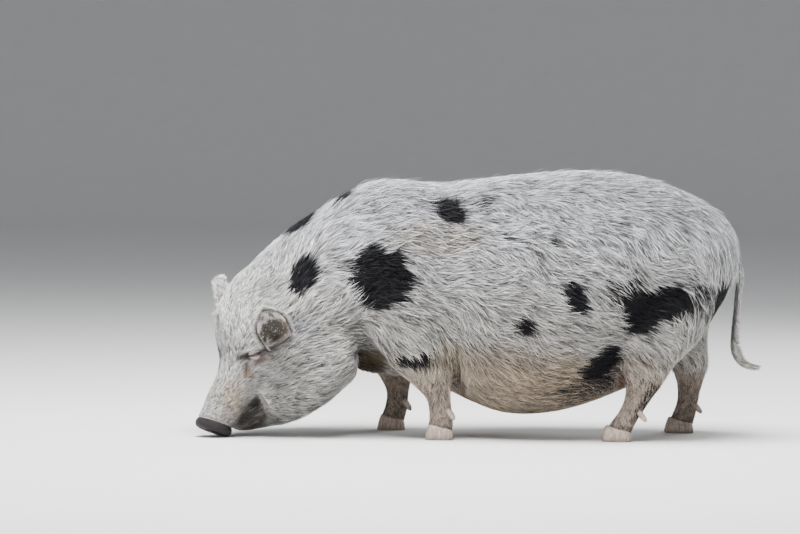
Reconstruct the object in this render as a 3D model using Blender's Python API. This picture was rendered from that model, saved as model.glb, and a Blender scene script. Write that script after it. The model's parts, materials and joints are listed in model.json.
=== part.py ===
"""A spotted Göttingen minipig, life size, rooting with its snout on the ground.

Frame: +Z up, floor at Z = 0, the animal's nose towards -X, its tail towards +X, its left side towards -Y.
The body is one blended form, clothed in flat tapered locks, and thin cuts part it into named nodes.
"""

import math

import bmesh
import bpy
import numpy as np
from mathutils import Vector
from mathutils.bvhtree import BVHTree

# Driving dimensions, in metres
GAP = 0.0003  # clearance between two nodes that meet
VOLUME_SLACK = 0.001  # share by which the volumes that two solvers leave may differ
ORIGIN = (0.0112, -0.0030, 0.0)  # middle of the floor area under the animal, in the coordinates used below
VOXEL = 0.0035  # grid on which the body's masses are blended
BLEND_ROUNDS = 24  # smoothing rounds after blending
CORE_TRIANGLES = 4700  # of the whole body, before it is parted
FACE_FINENESS = 0.5  # share by which the weight that steers the simplifying is lower on the face
FINENESS_FACTOR = 0.006  # how strongly that weight steers it
RING_SIDES = 28
SPAN_STEPS = 5  # rings added between two stations

HEAD_YAW = 32.0  # degrees that the head turns to its left
HEAD_PIVOT = Vector((-0.2915, -0.012, 0.0))

RAY = Vector((0.31, 0.17, 0.94)).normalized()  # a slanting way, along which no face of the forms lies
RAY_STEP = 1e-6  # how far a ray goes on past a face that it has crossed

# Trunk stations: x, z of the back, z of the belly, half width, height of the widest level as a share,
# roundness below
TRUNK = [
    (0.448, 0.320, 0.283, 0.024, 0.50, 2.0),
    (0.441, 0.345, 0.260, 0.064, 0.50, 2.0),
    (0.425, 0.366, 0.232, 0.096, 0.50, 2.0),
    (0.400, 0.387, 0.190, 0.120, 0.52, 1.9),
    (0.362, 0.409, 0.142, 0.137, 0.54, 1.8),
    (0.310, 0.429, 0.104, 0.150, 0.55, 1.7),
    (0.255, 0.441, 0.078, 0.160, 0.50, 1.9),
    (0.195, 0.445, 0.054, 0.166, 0.46, 2.1),
    (0.128, 0.442, 0.038, 0.169, 0.43, 2.2),
    (0.060, 0.435, 0.038, 0.165, 0.44, 2.2),
    (0.003, 0.428, 0.057, 0.155, 0.47, 2.1),
    (-0.050, 0.421, 0.082, 0.141, 0.52, 1.9),
    (-0.100, 0.426, 0.096, 0.132, 0.56, 1.7),
    (-0.150, 0.426, 0.100, 0.122, 0.58, 1.6),
    (-0.190, 0.414, 0.108, 0.111, 0.60, 1.6),
    (-0.225, 0.385, 0.130, 0.089, 0.60, 1.7),
    (-0.250, 0.340, 0.170, 0.056, 0.55, 2.0),
]
# Neck stations: x and z of the crest, x and z of the throat, side shift, yaw in degrees, half width
NECK = [
    (-0.090, 0.400, -0.090, 0.200, 0.000, 0, 0.105),
    (-0.140, 0.416, -0.140, 0.165, 0.000, 2, 0.122),
    (-0.190, 0.412, -0.185, 0.130, 0.000, 5, 0.130),
    (-0.240, 0.384, -0.215, 0.100, -0.003, 11, 0.128),
    (-0.285, 0.354, -0.245, 0.080, -0.009, 18, 0.124),
    (-0.322, 0.321, -0.275, 0.065, -0.019, 25, 0.115),
    (-0.352, 0.291, -0.305, 0.055, -0.032, 30, 0.101),
    (-0.378, 0.262, -0.335, 0.055, -0.045, 32, 0.085),
    (-0.398, 0.228, -0.360, 0.075, -0.056, 32, 0.060),
]
# Jowl stations: x and z of the upper edge, x and z of the lower edge, side shift, yaw, half width
JOWL = [
    (-0.184, 0.165, -0.184, 0.125, 0.000, 4, 0.045),
    (-0.194, 0.205, -0.194, 0.100, -0.001, 5, 0.098),
    (-0.215, 0.235, -0.212, 0.079, -0.003, 9, 0.122),
    (-0.245, 0.245, -0.240, 0.056, -0.008, 15, 0.131),
    (-0.280, 0.240, -0.272, 0.036, -0.017, 22, 0.128),
    (-0.312, 0.220, -0.302, 0.021, -0.030, 28, 0.112),
    (-0.340, 0.180, -0.328, 0.014, -0.043, 31, 0.086),
    (-0.362, 0.130, -0.352, 0.012, -0.055, 32, 0.056),
    (-0.380, 0.085, -0.372, 0.016, -0.065, 32, 0.030),
]
# Head stations in the head's own plane: distance ahead of the pivot and z of the brow line, the same for
# the lip line, half width, height of the widest level as a share
HEAD = [
    (0.052, 0.296, -0.022, 0.190, 0.070, 0.5),
    (0.086, 0.281, -0.004, 0.165, 0.076, 0.5),
    (0.112, 0.257, 0.008, 0.140, 0.077, 0.5),
    (0.129, 0.230, 0.018, 0.120, 0.076, 0.5),
    (0.138, 0.203, 0.030, 0.100, 0.074, 0.5),
    (0.138, 0.172, 0.045, 0.082, 0.068, 0.5),
    (0.131, 0.140, 0.064, 0.066, 0.057, 0.5),
    (0.138, 0.108, 0.083, 0.050, 0.046, 0.5),
    (0.1545, 0.080, 0.102, 0.036, 0.040, 0.5),
    (0.1675, 0.055, 0.117, 0.022, 0.035, 0.5),
    (0.1755, 0.040, 0.126, 0.012, 0.032, 0.5),
    (0.184, 0.026, 0.134, 0.000, 0.031, 0.5),
]
JAW = [
    (0.030, 0.120, 0.000, 0.030, 0.060, 0.5),
    (0.060, 0.095, 0.030, 0.016, 0.050, 0.5),
    (0.085, 0.066, 0.062, 0.010, 0.036, 0.5),
    (0.105, 0.044, 0.090, 0.007, 0.026, 0.5),
    (0.118, 0.030, 0.108, 0.008, 0.018, 0.5),
    (0.122, 0.022, 0.116, 0.012, 0.009, 0.5),
]
# Leg stations from the top down: x, y, z, half length along x, half width along y
FORE_NEAR = [
    (-0.108, -0.082, 0.300, 0.050, 0.036),
    (-0.106, -0.090, 0.235, 0.080, 0.048),
    (-0.098, -0.098, 0.175, 0.071, 0.044),
    (-0.084, -0.100, 0.128, 0.052, 0.037),
    (-0.066, -0.099, 0.096, 0.035, 0.028),
    (-0.052, -0.098, 0.070, 0.0215, 0.0215),
    (-0.048, -0.098, 0.050, 0.0195, 0.0200),
    (-0.046, -0.098, 0.033, 0.0205, 0.0235),
    (-0.048, -0.098, 0.018, 0.0210, 0.0240),
    (-0.049, -0.098, 0.004, 0.0210, 0.0240),
]
FORE_FAR = [
    (-0.125, 0.082, 0.300, 0.050, 0.036),
    (-0.130, 0.090, 0.235, 0.078, 0.048),
    (-0.128, 0.098, 0.175, 0.066, 0.044),
    (-0.126, 0.100, 0.128, 0.047, 0.037),
    (-0.123, 0.099, 0.096, 0.031, 0.028),
    (-0.119, 0.098, 0.070, 0.0205, 0.0215),
    (-0.119, 0.098, 0.050, 0.0190, 0.0200),
    (-0.122, 0.098, 0.033, 0.0205, 0.0235),
    (-0.127, 0.098, 0.018, 0.0210, 0.0240),
    (-0.130, 0.098, 0.004, 0.0210, 0.0240),
]
HIND_NEAR = [
    (0.330, -0.070, 0.310, 0.060, 0.040),
    (0.325, -0.088, 0.245, 0.082, 0.054),
    (0.312, -0.098, 0.190, 0.080, 0.052),
    (0.300, -0.100, 0.150, 0.062, 0.043),
    (0.290, -0.099, 0.122, 0.043, 0.032),
    (0.289, -0.098, 0.098, 0.0315, 0.0245),
    (0.279, -0.098, 0.072, 0.0235, 0.0200),
    (0.266, -0.098, 0.048, 0.0205, 0.0200),
    (0.255, -0.098, 0.032, 0.0215, 0.0235),
    (0.248, -0.098, 0.018, 0.0215, 0.0240),
    (0.243, -0.098, 0.004, 0.0215, 0.0240),
]
HIND_FAR = [
    (0.345, 0.070, 0.310, 0.055, 0.040),
    (0.345, 0.088, 0.245, 0.070, 0.054),
    (0.346, 0.098, 0.190, 0.063, 0.050),
    (0.358, 0.100, 0.150, 0.048, 0.041),
    (0.372, 0.099, 0.122, 0.036, 0.031),
    (0.376, 0.098, 0.098, 0.0265, 0.0245),
    (0.375, 0.098, 0.072, 0.0200, 0.0200),
    (0.372, 0.098, 0.048, 0.0190, 0.0200),
    (0.367, 0.098, 0.032, 0.0205, 0.0235),
    (0.362, 0.098, 0.018, 0.0215, 0.0240),
    (0.359, 0.098, 0.004, 0.0215, 0.0240),
]

LEGS = {"fore_left": FORE_NEAR, "fore_right": FORE_FAR, "hind_left": HIND_NEAR, "hind_right": HIND_FAR}
LEG_NODES = {name: f"{name[:4]}leg_{name[5:]}" for name in LEGS}
LEG_TOP = 3  # the station at which a leg's own node starts
SLEEVE_MARGIN = 0.009  # how far the surface that parts leg and trunk stands off the leg's stations
SLEEVE_SIDES = 14
SLEEVE_FOOT = 0.012  # height over the coronet at which the stations of that surface end

# Feet: x and y of the centre, half length of the sole, half width of both claws
FEET = {
    "fore_left": (-0.0475, -0.098, 0.0205, 0.0240),
    "fore_right": (-0.1270, 0.098, 0.0210, 0.0240),
    "hind_left": (0.2455, -0.098, 0.0215, 0.0240),
    "hind_right": (0.3605, 0.098, 0.0215, 0.0240),
}
CORONET_HEIGHT = 0.0215  # over the centre of a foot
CORONET_SLOPE = 0.25  # how much the coronet rises towards the toe
CLEFT = 0.0016  # between the two claws of a foot
CLAW_SIDES = 12
CLAW_TOE = 0.22  # how much further forward the toe reaches at the sole
# Claws from the sole up: share of the height, share of the size
CLAW_PROFILE = [(0.0, 1.00), (0.14, 1.03), (0.55, 0.99), (1.0, 0.92)]
DEWCLAW_HEIGHT = 0.050
DEWCLAW_LENGTH = 0.024
DEWCLAW_SPREAD = 0.0125
DEWCLAW_SIDES = 8
DEWCLAW_PROFILE = [(0.0, 0.0050), (0.55, 0.0062), (0.85, 0.0050), (1.0, 0.0028)]

# Cuts between head and neck, and between neck and torso: x and z at the top and at the bottom, yaw in
# degrees, and how far the cut goes on below
HEAD_CUT = (-0.372, 0.292, -0.180, 0.078, 18, 0.012)
NECK_CUT = (-0.205, 0.430, -0.163, 0.080, 6, 0.2)
CUT_REACH = 0.6  # width of a cut
CUT_OVERHANG = 0.2  # above its upper point

# Places on the head, in its own plane: ahead of the pivot, height over the floor
EYE_PLACE = (0.108, 0.139)
EYE_LINE = (-0.030, 0.012)  # direction from the inner to the outer corner
EYE_LOOK = (0.42, 0.90, -0.12)  # ahead, outwards, up
EYE_RADIUS = 0.0110
EYE_DEPTH = 0.0118  # from the skin between the lids to the middle of the eye
EYE_SLIT = (0.0290, 0.0052)  # length and height of the opening between the lids
EYE_SLIT_SIDES = 12
EYE_FACETS = (12, 7)  # of the eye, round and from pole to pole
LID_THICKNESS = 0.0028
LID_HEIGHT = 0.0042
LID_RISE = 0.42  # radians from the middle of the opening to the middle of a lid
LID_TURN = 1.15  # radians from the middle of the opening to a corner
LID_STEPS = 7
LID_SIDES = 6

EAR_ROOT = {"left": (0.080, 0.168), "right": (0.075, 0.186)}
EAR_AXIS = {"left": (0.60, 0.30, 0.74), "right": (-0.10, 0.22, 0.97)}  # ahead, outwards, up
EAR_FACE = {"left": (0.35, 0.90, -0.20), "right": (0.60, 0.78, -0.10)}  # the way the cup opens
EAR_LENGTH = 0.080
EAR_WIDTH = 0.050
EAR_CUP = 0.016  # depth of the cup
EAR_STAND = 0.007  # how far the rim stands off the head
EAR_CURL = 0.012  # how far the tip bends over the cup
EAR_SUNK = 0.16  # share of the length inside the head
EAR_BROADEST = 0.45
EAR_ROOT_NARROWING = 0.55
EAR_TIP_NARROWING = 0.985
EAR_THICKNESS = 0.0032
EAR_STEPS = (9, 10)  # from root to tip, and across

NOSE_TOP = (0.1800, 0.0325)  # where the upper edge of the nose disc meets the snout
NOSE_LOW = (0.1240, 0.0115)  # and its lower edge
NOSE_THICKNESS = 0.0145
NOSE_HALF_WIDTH = 0.0305
NOSE_PROFILE = [(0.0, 0.97), (0.25, 1.05), (0.70, 1.04), (0.93, 0.96), (1.0, 0.86)]
NOSTRIL = (0.0046, 0.0068, 0.0100)  # half width, half length and depth
NOSTRIL_SPREAD = 0.0125
NOSTRIL_TILT = 0.35  # how much the nostrils lean outwards at the top
NOSE_SIDES = 24
NOSTRIL_SIDES = 12

MOUTH = [(0.094, 0.058), (0.104, 0.043), (0.114, 0.031), (0.121, 0.024)]  # from the corner to the front
MOUTH_DEPTH = 0.010
MOUTH_GAP = 0.0024

# Swellings and hollows of the face: ahead, outwards and up in the head's own plane, spread, lift
FACE_FORMS = [
    ((0.098, 0.075, 0.162), 0.016, 0.0060),  # brow over the eye
    ((0.078, 0.080, 0.164), 0.014, 0.0050),
    ((0.112, 0.062, 0.134), 0.012, -0.0040),  # hollow of the eye
    ((0.092, 0.072, 0.138), 0.012, -0.0030),
    ((0.122, 0.046, 0.118), 0.007, -0.0030),  # tear groove
    ((0.080, 0.078, 0.110), 0.026, 0.0070),  # cheek
    ((0.096, 0.040, 0.056), 0.011, -0.0080),  # corner of the mouth
    ((0.074, 0.066, 0.062), 0.020, 0.0060),  # cheek behind the corner
    ((0.130, 0.036, 0.036), 0.012, 0.0025),  # upper lip
]

# Rounded masses of the cheeks: ahead, outwards and up in the head's own plane, and the radii along the same
CHEEKS = [
    ((0.034, 0.054, 0.118), (0.058, 0.038, 0.056)),
    ((0.010, 0.076, 0.150), (0.062, 0.042, 0.060)),
    ((0.056, 0.047, 0.084), (0.042, 0.030, 0.042)),
]

# Tail stations: x, z, half thickness along x, half width along y
TAIL = [
    (0.420, 0.302, 0.0110, 0.0130),
    (0.440, 0.294, 0.0090, 0.0110),
    (0.4500, 0.272, 0.0066, 0.0082),
    (0.4480, 0.240, 0.0054, 0.0070),
    (0.4450, 0.208, 0.0044, 0.0058),
    (0.4420, 0.178, 0.0038, 0.0050),
    (0.4420, 0.152, 0.0048, 0.0068),
    (0.4490, 0.134, 0.0052, 0.0072),
    (0.4610, 0.124, 0.0036, 0.0052),
    (0.4760, 0.121, 0.0014, 0.0020),
]
TAIL_SIDES = 10
TAIL_Y = -0.004

# The lie of the coat: places on the body, alike on both sides, and the way that the hair points there
LIE = [
    ((-0.18, 0.03, 0.42), (1.0, 0.0, -0.05)),  # withers
    ((0.05, 0.00, 0.43), (1.0, 0.0, 0.0)),  # back
    ((0.30, 0.00, 0.43), (1.0, 0.0, -0.3)),  # rump
    ((0.43, 0.00, 0.33), (0.3, 0.0, -1.0)),
    ((0.40, 0.11, 0.25), (0.5, 0.0, -0.85)),  # buttock
    ((0.05, 0.17, 0.25), (1.0, 0.0, -0.1)),  # flank
    ((-0.12, 0.13, 0.28), (1.0, 0.0, -0.15)),  # shoulder
    ((0.10, 0.14, 0.12), (1.0, 0.0, -0.05)),
    ((0.22, 0.15, 0.16), (0.8, 0.0, 0.55)),  # flank fold
    ((0.30, 0.13, 0.20), (0.7, 0.0, -0.6)),  # thigh
    ((0.10, 0.00, 0.05), (1.0, 0.0, 0.0)),  # belly
    ((-0.16, 0.00, 0.10), (0.5, 0.0, -0.85)),  # chest
    ((-0.06, 0.13, 0.12), (-0.4, 0.0, -0.9)),  # top of the foreleg
    ((-0.28, 0.12, 0.25), (0.75, 0.0, 0.6)),  # neck
    ((-0.30, 0.00, 0.35), (0.8, 0.0, 0.6)),  # crest
    ((-0.37, 0.05, 0.28), (0.6, 0.0, 0.8)),  # poll
    ((-0.40, 0.08, 0.22), (0.3, 0.0, 1.0)),  # forehead
    ((-0.30, 0.15, 0.15), (1.0, 0.0, -0.1)),  # cheek
    ((-0.27, 0.13, 0.06), (1.0, 0.0, 0.1)),  # underside of the jowl
    ((-0.20, 0.11, 0.13), (0.7, 0.0, 0.3)),
]
LIE_SOFTNESS = 0.04  # distance over which one place's direction passes into the next
COAT_DEPTH = 0.0075  # from the tips of the coat down to the core that carries the locks
COAT_FACE = (0.030, 0.110)  # ahead of the pivot: where the long coat starts to fade, and where it has gone
COAT_LOW = (0.075, 0.150)  # heights between which it fades in on the belly and the legs
COAT_CHEST = (0.185, 0.215)  # and in front of which, towards the nose, it reaches the jowl's underside
LOCK_SEED = 11
LOCK_SPACING = 0.0515
LOCK_LENGTH = 0.078
LOCK_WIDTH = 0.043
LOCK_SIZES = (0.90, 1.10)  # how small and how large a lock may be drawn
LOCK_THICKNESS = 0.0038
LOCK_SWAY = 0.22  # radians that a lock turns off the lie at most
LOCK_CURL = 0.18  # radians that it bends sideways at each station at most
LOCK_FLOOR = 0.004  # no lock reaches lower
LOCK_CLEARANCE = 0.010  # from an ear, an eye or the tail
LOCK_MARGIN = 0.001  # from the cuts that part the nodes
LOCK_SHORTENINGS = (1.0, 0.82, 0.66, 0.52, 0.42)  # tried in turn where a lock would cross another node
LOCK_ROOT = -0.80  # height of the root over the core, as a share of the coat's depth
# Sections of a lock: share of the length, of the width, height of its ridge over the core as a share of the
# coat's depth, thickness as a share
LOCK_STATIONS = [(0.30, 1.0, 0.82, 0.95), (0.64, 0.64, 0.98, 0.75)]
LOCK_TIP = 1.10  # height of the tip, as a share of the coat's depth

# Finishes by the start of a node's name: colour and roughness
FINISHES = [
    ("eye_", (0.03, 0.02, 0.015), 0.15),
    ("snout", (0.13, 0.10, 0.11), 0.55),
    ("hoof_", (0.30, 0.24, 0.19), 0.50),
    ("dewclaw_", (0.24, 0.19, 0.15), 0.50),
    ("ear_", (0.52, 0.46, 0.43), 0.80),
    ("tail", (0.50, 0.48, 0.46), 0.85),
    ("foreleg_", (0.66, 0.53, 0.45), 0.85),
    ("hindleg_", (0.66, 0.53, 0.45), 0.85),
    ("head", (0.72, 0.68, 0.62), 0.85),
    ("", (0.68, 0.67, 0.65), 0.85),
]


def unit(vector):
    return vector / np.linalg.norm(vector)


def spline(rows, steps):
    """The rows with smooth in-between rows, by a Catmull-Rom curve through every column."""
    rows = np.array(rows, float)
    padded = np.vstack([2 * rows[0] - rows[1], rows, 2 * rows[-1] - rows[-2]])
    out = []
    for i in range(1, len(padded) - 2):
        a, b, c, d = padded[i - 1 : i + 3]
        for t in np.arange(steps) / steps:
            bend = (2 * a - 5 * b + 4 * c - d) * t**2 + (3 * b - a - 3 * c + d) * t**3
            out.append(0.5 * (2 * b + (c - a) * t + bend))
    out.append(rows[-1])
    return np.array(out)


def power_curve(value, power):
    return math.copysign(abs(value) ** (2 / power), value)


def step(value, low, high):
    """0 below low, 1 above high, and smooth between."""
    t = min(1.0, max(0.0, (value - low) / (high - low)))
    return t * t * (3 - 2 * t)


def side_axis(yaw):
    """The level axis that points to the animal's left where the body is turned by yaw degrees."""
    angle = math.radians(yaw)
    return np.array((math.sin(angle), -math.cos(angle), 0.0))


def heading(yaw):
    """The level axis that points ahead where the body is turned by yaw degrees."""
    angle = math.radians(yaw)
    return np.array((-math.cos(angle), -math.sin(angle), 0.0))


def head_axis(ahead, left, height):
    """A direction given in the head's own plane."""
    return heading(HEAD_YAW) * ahead + side_axis(HEAD_YAW) * left + np.array((0, 0, height))


def head_point(ahead, left, height):
    """A point given in the head's own plane."""
    return np.array(HEAD_PIVOT) + head_axis(ahead, left, height)


def ring(top, bottom, side, half_width, widest=0.5, above=2.1, below=2.1, sides=RING_SIDES):
    """A closed section between a top and a bottom point, as wide as given along the side axis."""
    middle = bottom + (top - bottom) * widest
    points = []
    for k in range(sides):
        angle = 2 * math.pi * k / sides
        upper = math.sin(angle) > 0
        reach = (top - middle) if upper else (middle - bottom)
        power = above if upper else below
        across = side * half_width * power_curve(math.cos(angle), power)
        points.append(middle + across + reach * power_curve(math.sin(angle), power))
    return points


def outward(bm):
    """Turns the faces of a closed mesh outwards."""
    bm.normal_update()
    bmesh.ops.recalc_face_normals(bm, faces=bm.faces)
    if bm.calc_volume(signed=True) < 0:
        bmesh.ops.reverse_faces(bm, faces=bm.faces)


def object_from(name, bm):
    mesh = bpy.data.meshes.new(name)
    bm.to_mesh(mesh)
    bm.free()
    obj = bpy.data.objects.new(name, mesh)
    bpy.context.scene.collection.objects.link(obj)
    return obj


def loft(name, rings):
    """A closed mesh object through a list of rings that all have the same number of points."""
    sides = len(rings[0])
    bm = bmesh.new()
    grid = [[bm.verts.new(p) for p in points] for points in rings]
    for lower, upper in zip(grid, grid[1:]):
        for k in range(sides):
            n = (k + 1) % sides
            bm.faces.new((lower[k], lower[n], upper[n], upper[k]))
    for end in (grid[0], grid[-1]):
        centre = bm.verts.new(sum((v.co for v in end), Vector()) / sides)
        for k in range(sides):
            bm.faces.new((end[k], end[(k + 1) % sides], centre))
    outward(bm)
    bmesh.ops.triangulate(bm, faces=bm.faces)
    return object_from(name, bm)


def box(name, corner, axes, lengths):
    """A box that spans three axes from one corner."""
    bm = bmesh.new()
    bmesh.ops.create_cube(bm, size=1.0)
    spans = [unit(np.array(axis, float)) * length for axis, length in zip(axes, lengths)]
    for vert in bm.verts:
        vert.co = np.array(corner, float) + sum(span * (share + 0.5) for share, span in zip(vert.co, spans))
    outward(bm)
    return object_from(name, bm)


def ball(name, centre, radius, segments=20, rings=12):
    bm = bmesh.new()
    bmesh.ops.create_uvsphere(bm, u_segments=segments, v_segments=rings, radius=radius)
    bmesh.ops.translate(bm, verts=bm.verts, vec=Vector(centre))
    bmesh.ops.triangulate(bm, faces=bm.faces)
    return object_from(name, bm)


def copy_of(obj, name):
    twin = bpy.data.objects.new(name, obj.data.copy())
    bpy.context.scene.collection.objects.link(twin)
    return twin


def joined(name, objects):
    """One object that holds the meshes of several."""
    bm = bmesh.new()
    for obj in objects:
        bm.from_mesh(obj.data)
        bpy.data.objects.remove(obj)
    return object_from(name, bm)


def apply_modifiers(obj):
    """Bakes the modifiers of an object into its mesh."""
    graph = bpy.context.evaluated_depsgraph_get()
    mesh = bpy.data.meshes.new_from_object(obj.evaluated_get(graph))
    obj.modifiers.clear()
    obj.data = mesh
    return obj


def litres(mesh):
    """The volume of a mesh, or nothing where some edge doesn't join exactly two faces."""
    bm = bmesh.new()
    bm.from_mesh(mesh)
    closed = len(bm.faces) > 0 and all(edge.is_manifold for edge in bm.edges)
    volume = bm.calc_volume(signed=True) * 1000 if closed else None
    bm.free()
    return volume


def solved(obj, operation, settings):
    """Applies a Boolean by EXACT, or by MANIFOLD where EXACT leaves a hole or another volume."""
    source, results = obj.data, {}
    for solver in ("EXACT", "MANIFOLD"):
        obj.data = source.copy()
        modifier = obj.modifiers.new("Cut", "BOOLEAN")
        modifier.operation = operation
        modifier.solver = solver
        for key, value in settings.items():
            setattr(modifier, key, value)
        apply_modifiers(obj)
        results[solver] = (obj.data, litres(obj.data))
    (exact, first), (manifold, second) = results["EXACT"], results["MANIFOLD"]
    if first is None and second is None:
        raise ValueError(f"{obj.name}: no solver made a closed {operation}")
    agreed = first is not None and (second is None or abs(first - second) < VOLUME_SLACK * second)
    obj.data = exact if agreed else manifold
    return obj


def boolean(obj, other, operation):
    """Cuts, joins or crosses an object with another, which goes."""
    solved(obj, operation, {"object": other})
    bpy.data.objects.remove(other)
    return obj


def shells_of(bm):
    """The vertices of each separate surface, the widest surface last."""
    seen, shells = set(), []
    for start in bm.verts:
        if start in seen:
            continue
        seen.add(start)
        shell, stack = [], [start]
        while stack:
            vert = stack.pop()
            shell.append(vert)
            for edge in vert.link_edges:
                other = edge.other_vert(vert)
                if other not in seen:
                    seen.add(other)
                    stack.append(other)
        shells.append(shell)
    return sorted(shells, key=spread)


def spread(verts):
    """The diagonal of the box round some vertices."""
    places = np.array([v.co[:] for v in verts])
    return float(np.linalg.norm(places.max(0) - places.min(0)))


def largest(obj):
    """Keeps the largest closed surface of an object, in triangles that give no edge four faces."""
    source = obj.data
    for corners in ("BEAUTY", "EAR_CLIP"):
        bm = bmesh.new()
        bm.from_mesh(source)
        for shell in shells_of(bm)[:-1]:
            bmesh.ops.delete(bm, geom=shell, context="VERTS")
        bmesh.ops.triangulate(bm, faces=bm.faces, ngon_method=corners)
        obj.data = source.copy()
        bm.to_mesh(obj.data)
        bm.free()
        if litres(obj.data) is not None:
            break
    return obj


def swollen(obj, name, distance):
    """A copy of an object with its surface moved out."""
    twin = copy_of(obj, name)
    places = [v.co + v.normal * distance for v in twin.data.vertices]
    for vert, place in zip(twin.data.vertices, places):
        vert.co = place
    return twin


def clear_of(obj, neighbour):
    """Cuts an object back to where it meets its neighbour face to face."""
    return largest(boolean(obj, swollen(neighbour, "clearance", 1.3 * GAP), "DIFFERENCE"))


def surface_tree(obj):
    bm = bmesh.new()
    bm.from_mesh(obj.data)
    tree = BVHTree.FromBMesh(bm)
    bm.free()
    return tree


def skin_at(tree, ahead, height, side):
    """Where the skin of the head is, seen from one side, at a place in the head's own plane."""
    start = Vector(head_point(ahead, side * 0.3, height))
    place, normal, _, _ = tree.ray_cast(start, Vector(head_axis(0, -side, 0)))
    return np.array(place), np.array(normal)


# The blended body
def trunk_rings():
    left = side_axis(0)
    for x, high, low, width, widest, below in spline(TRUNK, SPAN_STEPS):
        yield ring(np.array((x, 0, high)), np.array((x, 0, low)), left, width, widest, 2.15, below)


def turned_rings(stations, widest):
    """Rings of the neck or the jowl, whose stations say how far they are turned and shifted."""
    for top_x, top_z, low_x, low_z, shift, yaw, width in spline(stations, SPAN_STEPS):
        top = np.array((top_x, shift, top_z))
        bottom = np.array((low_x, shift, low_z))
        yield ring(top, bottom, side_axis(yaw), width, widest)


def head_rings(stations):
    for top_a, top_z, low_a, low_z, width, widest in spline(stations, SPAN_STEPS):
        top, bottom = head_point(top_a, 0, top_z), head_point(low_a, 0, low_z)
        yield ring(top, bottom, side_axis(HEAD_YAW), width, widest)


def leg_rings(stations, margin=0.0, steps=SPAN_STEPS, sides=RING_SIDES):
    """Level rings from the hip or shoulder down to the sole."""
    for x, y, z, long, wide in spline(stations, steps):
        centre = np.array((x, y, z))
        reach = np.array((long + margin, 0, 0))
        yield ring(centre - reach, centre + reach, np.array((0.0, 1.0, 0.0)), wide + margin, sides=sides)


def blended(obj):
    """The overlapping masses of an object as one smooth skin."""
    remesh = obj.modifiers.new("Blend", "REMESH")
    remesh.mode = "VOXEL"
    remesh.voxel_size = VOXEL
    smooth = obj.modifiers.new("Ease", "SMOOTH")
    smooth.factor = 0.5
    smooth.iterations = BLEND_ROUNDS
    return apply_modifiers(obj)


def cheek(centre, radii, side):
    """A rounded mass on one side of the head."""
    obj = ball("cheek_mass", (0, 0, 0), 1.0, 24, 16)
    ahead, left, height = centre
    for vert in obj.data.vertices:
        a, l, h = (share * radius for share, radius in zip(vert.co, radii))
        vert.co = head_point(ahead + a, side * (left + l), height + h)
    if side < 0:
        obj.data.flip_normals()
    return obj


def swell(obj, forms):
    """Raises or sinks the skin round places given for one side of the head, on both sides alike."""
    mesh = obj.data
    points = np.array([v.co[:] for v in mesh.vertices])
    normals = np.array([v.normal[:] for v in mesh.vertices])
    lift = np.zeros(len(points))
    for (ahead, left, height), radius, amount in forms:
        for side in (1, -1):
            centre = head_point(ahead, side * left, height)
            distance = np.linalg.norm(points - centre, axis=1)
            lift += amount * np.exp(-((distance / radius) ** 2))
    mesh.vertices.foreach_set("co", (points + normals * lift[:, None]).ravel())
    mesh.update()


def body_form():
    """The animal's flesh as one blended mesh, without ears, tail, claws and coat."""
    masses = [
        loft("trunk", list(trunk_rings())),
        loft("neck_mass", list(turned_rings(NECK, 0.45))),
        loft("jowl_mass", list(turned_rings(JOWL, 0.42))),
        loft("head_mass", list(head_rings(HEAD))),
        loft("jaw_mass", list(head_rings(JAW))),
    ]
    for name, leg in LEGS.items():
        masses.append(loft(f"{name}_mass", list(leg_rings(leg))))
    for centre, radii in CHEEKS:
        for side in (1, -1):
            masses.append(cheek(centre, radii, side))
    body = blended(joined("body", masses))
    swell(body, FACE_FORMS)
    return body


def simplified(obj, triangles):
    """The same form in about as many triangles as given, finer on the face."""
    group = obj.vertex_groups.new(name="plain")
    for vert in obj.data.vertices:
        ahead = float((np.array(vert.co) - np.array(HEAD_PIVOT)) @ head_axis(1, 0, 0))
        group.add([vert.index], 1 - FACE_FINENESS * step(ahead, 0.03, 0.08), "REPLACE")
    decimate = obj.modifiers.new("Simplify", "DECIMATE")
    decimate.vertex_group = group.name
    decimate.vertex_group_factor = FINENESS_FACTOR
    decimate.ratio = triangles / (2 * len(obj.data.vertices))
    apply_modifiers(obj)
    obj.vertex_groups.clear()
    return largest(obj)


# Cuts that part the body into nodes
def cut_frame(cut):
    """The upper point of a cut, its directions down the body and towards the nose, and its side axis."""
    top_x, top_z, low_x, low_z, yaw, _ = cut
    down = unit(heading(yaw) * (top_x - low_x) + np.array((0, 0, low_z - top_z)))
    side = side_axis(yaw)
    nose = np.cross(side, down)
    if nose @ heading(yaw) < 0:
        nose = -nose
    return np.array((top_x, 0, top_z)), down, nose, side


def half_space(name, cut, nosewards, offset):
    """A big box on one side of a cut, set off from it by an offset."""
    top, down, nose, side = cut_frame(cut)
    toward = nose if nosewards else -nose
    length = math.hypot(cut[2] - cut[0], cut[3] - cut[1])
    corner = top - down * CUT_OVERHANG - side * CUT_REACH / 2 + toward * offset
    lengths = (length + CUT_OVERHANG + cut[5], CUT_REACH, 2 * CUT_REACH)
    return box(name, corner, (down, side, toward), lengths)


def coronet(point, x, offset):
    """The point moved along Z onto the sloping plane between a leg and its claws."""
    height = CORONET_HEIGHT - CORONET_SLOPE * (point[0] - x) + offset
    return np.array((point[0], point[1], height))


def sleeve(name, grown):
    """The closed surface round a leg, from the coronet up into the trunk, that parts leg and body."""
    x = FEET[name][0]
    around = leg_rings(LEGS[name][LEG_TOP:], SLEEVE_MARGIN + grown, steps=2, sides=SLEEVE_SIDES)
    rings = [points for points in around if points[0][2] > CORONET_HEIGHT + SLEEVE_FOOT]
    rings[0] = [p + np.array((0, 0, grown)) for p in rings[0]]
    return loft(f"{name}_sleeve", rings + [[coronet(p, x, -grown) for p in rings[-1]]])


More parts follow.
